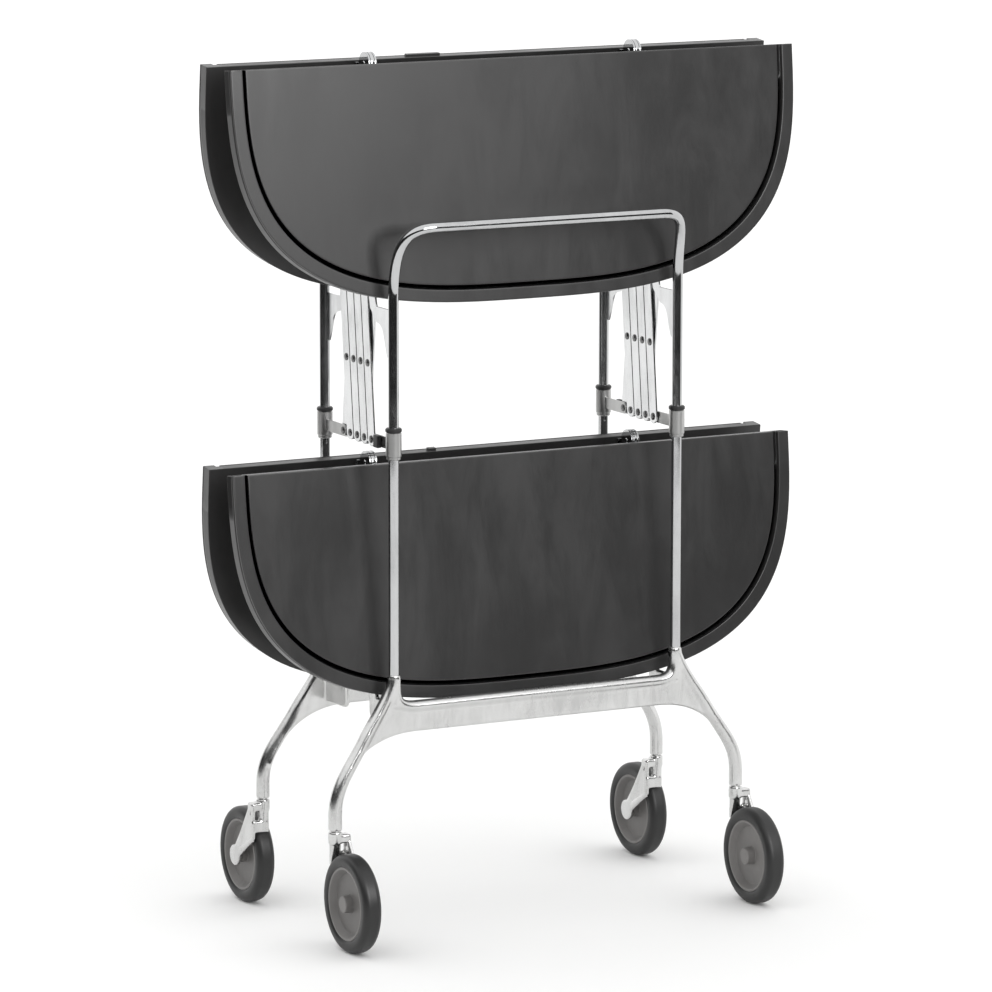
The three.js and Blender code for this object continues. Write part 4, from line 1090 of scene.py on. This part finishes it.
def caster_fork(bm, sizes, side):
    """The cast arm of a caster as overlapping shells, with the slot between its ribs left open."""
    x0 = side * SWIVEL.x
    inner = x0 + sizes.tyre_width / 2 + FORK_GAP
    outer = inner + FORK_PLATE
    middle_x = (inner + outer) / 2
    stem = sizes.stem_radius
    boss = [(0, FORK_TOP - 0.013), (stem - 0.001, FORK_TOP - 0.013), (stem, FORK_TOP - 0.011),
            (stem, FORK_TOP - 0.0006), (stem - 0.0006, FORK_TOP), (0, FORK_TOP)]
    turned(bm, boss, along_z(x0, SWIVEL.y))
    box_piece(bm, (x0 - 0.003, SWIVEL.y - stem + 0.001, FORK_TOP - 0.012),
              (outer, SWIVEL.y + stem - 0.001, FORK_TOP - 0.003), 0.002, 3)
    hub = Vector((middle_x, AXLE.y, AXLE.z))
    rib_foot = Vector((middle_x, SWIVEL.y + 0.0035, FORK_TOP - 0.041))
    rib_top = Vector((middle_x, SWIVEL.y + 0.0035, FORK_TOP - 0.008))
    brace_top = Vector((middle_x, SWIVEL.y - 0.003, FORK_TOP - 0.010))
    half = FORK_PLATE / 2
    across = X_AXIS
    sweep(bm, [rib_top, rib_foot], (half, 0.0026), 20, across)
    post_top = Vector((x0 + 0.0005, SWIVEL.y + 0.0010, FORK_TOP - 0.008))
    post_foot = Vector((x0 + 0.0015, SWIVEL.y + 0.0045, FORK_TOP - POST_LENGTH))
    sweep(bm, [post_top, post_foot], [(0.0060, 0.0055), (0.0058, 0.0022)], 24, across)
    box_piece(bm, (x0 - 0.0042, SWIVEL.y + 0.0023, FORK_TOP - POST_LENGTH),
              (outer, SWIVEL.y + 0.0067, FORK_TOP - POST_LENGTH + 0.013), 0.002, 3)
    sweep(bm, [brace_top, brace_top.lerp(hub, 0.45), hub],
          [(half, 0.0030), (half, 0.0036), (half, 0.0075)], 20, across)
    sweep(bm, [rib_foot, rib_foot.lerp(hub, 0.35), hub],
          [(half, 0.0030), (half, 0.0034), (half, 0.0060)], 20, across)
    web = [(rib_foot.y, rib_foot.z), (rib_top.y, FORK_TOP - 0.020), (brace_top.y, FORK_TOP - 0.012),
           (hub.y, hub.z)]
    plate(bm, web, middle_x - 0.0011, middle_x + 0.0011)
    turned(bm, [(0, inner), (0.0105, inner), (0.011, inner + 0.0008), (0.011, outer - 0.0006),
                (0.0102, outer), (0, outer)], Matrix.Translation((0, hub.y, hub.z)))


class TROLLEY_OT_caster_forks(Operator):
    """Builds the four cast caster arms with their swivel bosses and axles"""
    bl_idname = "trolley.caster_forks"
    bl_label = "Caster arms"

    def execute(self, context):
        sizes = context.scene.trolley_sizes
        for end in ENDS:
            for side in (LEFT, RIGHT):
                bm = bmesh.new()
                caster_fork(bm, sizes, side)
                bm = cast(bm, CASTER_VOXEL, 4)
                x0 = side * SWIVEL.x
                far = x0 + sizes.tyre_width / 2 + 0.001
                rod(bm, AXLE_RADIUS, x0 - 0.009, far, Matrix.Translation((0, AXLE.y, AXLE.z)), 24)
                rod(bm, SWIVEL_RADIUS, STEM_BOTTOM - 0.004, STEM_BOTTOM + 0.020,
                    along_z(x0, SWIVEL.y), 24)
                for_end(bm, end)
                where = f"{end}_{side_at(end, side)}"
                finished(f"{where}_caster_arm", bm, "polished_casting", f"{where}_caster",
                         [f"{where}_caster_fork"], sharp=CAST_SHARP)
        return {"FINISHED"}


def other_side(profile):
    """A profile's mirror image along the axle, in the order that carries it on."""
    return [(radius, -along) for radius, along in reversed(profile)]


def wheel_profile(sizes):
    """The moulded wheel: radius, then place along the axle, negative on its free side."""
    half = sizes.tyre_width / 2
    rim = TYRE_BORE - 0.0001
    cap = [(0, -half - 0.0015), (HUB_RADIUS - 0.0008, -half - 0.0015), (HUB_RADIUS, -half - 0.0007),
           (HUB_RADIUS + 0.0006, -WEB_HALF - 0.0006), (HUB_RADIUS + 0.0012, -WEB_HALF)]
    lip = [(rim - 0.0070, -WEB_HALF), (rim - 0.0062, -WEB_HALF - 0.0005),
           (rim - 0.0034, -half + 0.0026), (rim - 0.0028, -half + 0.0016),
           (rim - 0.0020, -half + 0.0010), (rim - 0.0006, -half + 0.0010), (rim, -half + 0.0016)]
    arm = [(HUB_RADIUS + 0.0012, WEB_HALF), (HUB_RADIUS, WEB_HALF + 0.0008),
           (HUB_RADIUS, half - 0.0005), (0, half - 0.0005)]
    return cap + lip + other_side(lip) + arm


def tyre_profile(sizes):
    """The tyre, from its bore up one rounded shoulder and down the other."""
    half = sizes.tyre_width / 2
    wide = sizes.wheel_radius
    shoulder = [(wide - TYRE_SHOULDER + TYRE_SHOULDER * sin(radians(a)),
                 -(half - TYRE_SHOULDER + TYRE_SHOULDER * cos(radians(a))))
                for a in range(0, 91, 10)]
    face = [(TYRE_BORE, -half + 0.0016), (TYRE_BORE + 0.0012, -half + 0.0008),
            (wide - 0.0095, -half)]
    free = face + shoulder
    return free + other_side(free) + [free[0]]


class TROLLEY_OT_wheels(Operator):
    """Builds the four moulded wheels and their rubber tyres"""
    bl_idname = "trolley.wheels"
    bl_label = "Wheels and tyres"

    def execute(self, context):
        sizes = context.scene.trolley_sizes
        kinds = (
            ("wheel", wheel_profile(sizes), "wheel_moulding", "grey_plastic"),
            ("tyre", tyre_profile(sizes), "tyre_rubber", "grey_rubber"),
        )
        for end in ENDS:
            for side in (LEFT, RIGHT):
                for kind, profile, material, slot in kinds:
                    bm = bmesh.new()
                    turned(bm, profile, Matrix.Translation((side * SWIVEL.x, AXLE.y, AXLE.z)), 96)
                    for_end(bm, end)
                    where = f"{end}_{side_at(end, side)}"
                    finished(f"{where}_{kind}_turned", bm, material,
                             f"{where}_roller", [f"{where}_{kind}"])
        return {"FINISHED"}


# ---------------------------------------------------------------- camera, floor and light

CAMERA_PLACE = (-2.767, -5.289, 1.450)
CAMERA_TURN = (80.28, -0.08, -27.555)


def plain_material(name, colour, roughness):
    """A matt colour for the studio."""
    _, shader = bare_material(name)
    shader.inputs["Base Color"].default_value = (*colour, 1.0)
    shader.inputs["Roughness"].default_value = roughness


def area_light(name, place, target, size, power):
    """A soft rectangular light that faces target."""
    data = bpy.data.lights.new(name, "AREA")
    data.shape = "RECTANGLE"
    data.size, data.size_y = size
    data.energy = power
    lamp = linked(name, data)
    lamp.location = place
    lamp.rotation_euler = (Vector(target) - Vector(place)).to_track_quat("-Z", "Y").to_euler()
    return lamp


def dark_screen(radius, start, end, height):
    """A dark curved screen that only reflections see, which gives bright metal its contrast."""
    bm = bmesh.new()
    foot = Vector((radius * sin(radians(start)), -radius * cos(radians(start)), 0))
    verts = [bm.verts.new(foot), bm.verts.new(foot + Vector((0, 0, height)))]
    edge = bm.edges.new(verts)
    bmesh.ops.spin(bm, geom=verts + [edge], cent=(0, 0, 0), axis=Z_AXIS, angle=radians(end - start),
                   steps=36)
    screen = linked_mesh("screen", bm, "studio_black")
    screen.visible_camera = False
    screen.visible_diffuse = False
    screen.visible_shadow = False


class TROLLEY_OT_studio(Operator):
    """Sets up the camera, the pale floor and the soft studio light"""
    bl_idname = "trolley.studio"
    bl_label = "Studio"

    def execute(self, context):
        studio = context.scene.trolley_studio
        data = bpy.data.cameras.new("camera")
        data.lens = studio.lens
        data.sensor_width = 36.0
        data.clip_end = 200.0
        camera = linked("camera", data)
        camera.location = CAMERA_PLACE
        camera.rotation_euler = [radians(a) for a in CAMERA_TURN]
        bpy.context.scene.camera = camera

        plain_material("studio_black", (0.01, 0.01, 0.01), 0.9)
        plain_material("studio_floor", (0.96, 0.96, 0.955), 0.9)
        bm = bmesh.new()
        bmesh.ops.create_circle(bm, segments=96, radius=studio.floor_radius, cap_ends=True)
        floor = linked_mesh("floor", bm, "studio_floor")

        dark_screen(3.1, -142, 52, 1.7)
        key = area_light("key_light", (0.35, -2.7, 1.65), (0.1, 0, 0.75), (1.5, 1.4),
                         studio.light_power)
        key.visible_diffuse = False

        world = bpy.data.worlds.new("studio")
        world.use_nodes = True
        background = world.node_tree.nodes["Background"]
        background.inputs["Color"].default_value = (1.0, 1.0, 1.0, 1.0)
        background.inputs["Strength"].default_value = 1.19
        bpy.context.scene.world = world
        bpy.context.scene.view_settings.view_transform = "Standard"
        return {"FINISHED"}


# ---------------------------------------------------------------- panel and registration

BUILDERS = (
    TROLLEY_OT_studio,
    TROLLEY_OT_base_castings,
    TROLLEY_OT_handles,
    TROLLEY_OT_brackets,
    TROLLEY_OT_collars,
    TROLLEY_OT_lazy_tongs,
    TROLLEY_OT_tray_leaves,
    TROLLEY_OT_ridge_hinges,
    TROLLEY_OT_caster_forks,
    TROLLEY_OT_wheels,
)


class TROLLEY_PT_builder(Panel):
    """Lists the trolley's sizes and finishes and the steps that build it"""
    bl_label = "Serving trolley"
    bl_idname = "TROLLEY_PT_builder"
    bl_space_type = "VIEW_3D"
    bl_region_type = "UI"
    bl_category = "Trolley"

    def draw(self, context):
        for group in (context.scene.trolley_sizes, context.scene.trolley_finishes,
                      context.scene.trolley_studio):
            column = self.layout.column()
            for name in group.__annotations__:
                column.prop(group, name)
        for builder in BUILDERS:
            self.layout.operator(builder.bl_idname)


GROUPS = (
    ("trolley_sizes", TrolleySizes),
    ("trolley_finishes", TrolleyFinishes),
    ("trolley_studio", TrolleyStudio),
)


def register():
    for name, group in GROUPS:
        bpy.utils.register_class(group)
        setattr(bpy.types.Scene, name, PointerProperty(type=group))
    for cls in (*BUILDERS, TROLLEY_PT_builder):
        bpy.utils.register_class(cls)


def unregister():
    for cls in reversed((*BUILDERS, TROLLEY_PT_builder)):
        bpy.utils.unregister_class(cls)
    for name, group in reversed(GROUPS):
        delattr(bpy.types.Scene, name)
        bpy.utils.unregister_class(group)


def main():
    register()
    make_materials(bpy.context.scene.trolley_finishes)
    for builder in BUILDERS:
        section, step = builder.bl_idname.split(".")
        getattr(getattr(bpy.ops, section), step)()


if __name__ == "__main__":
    main()
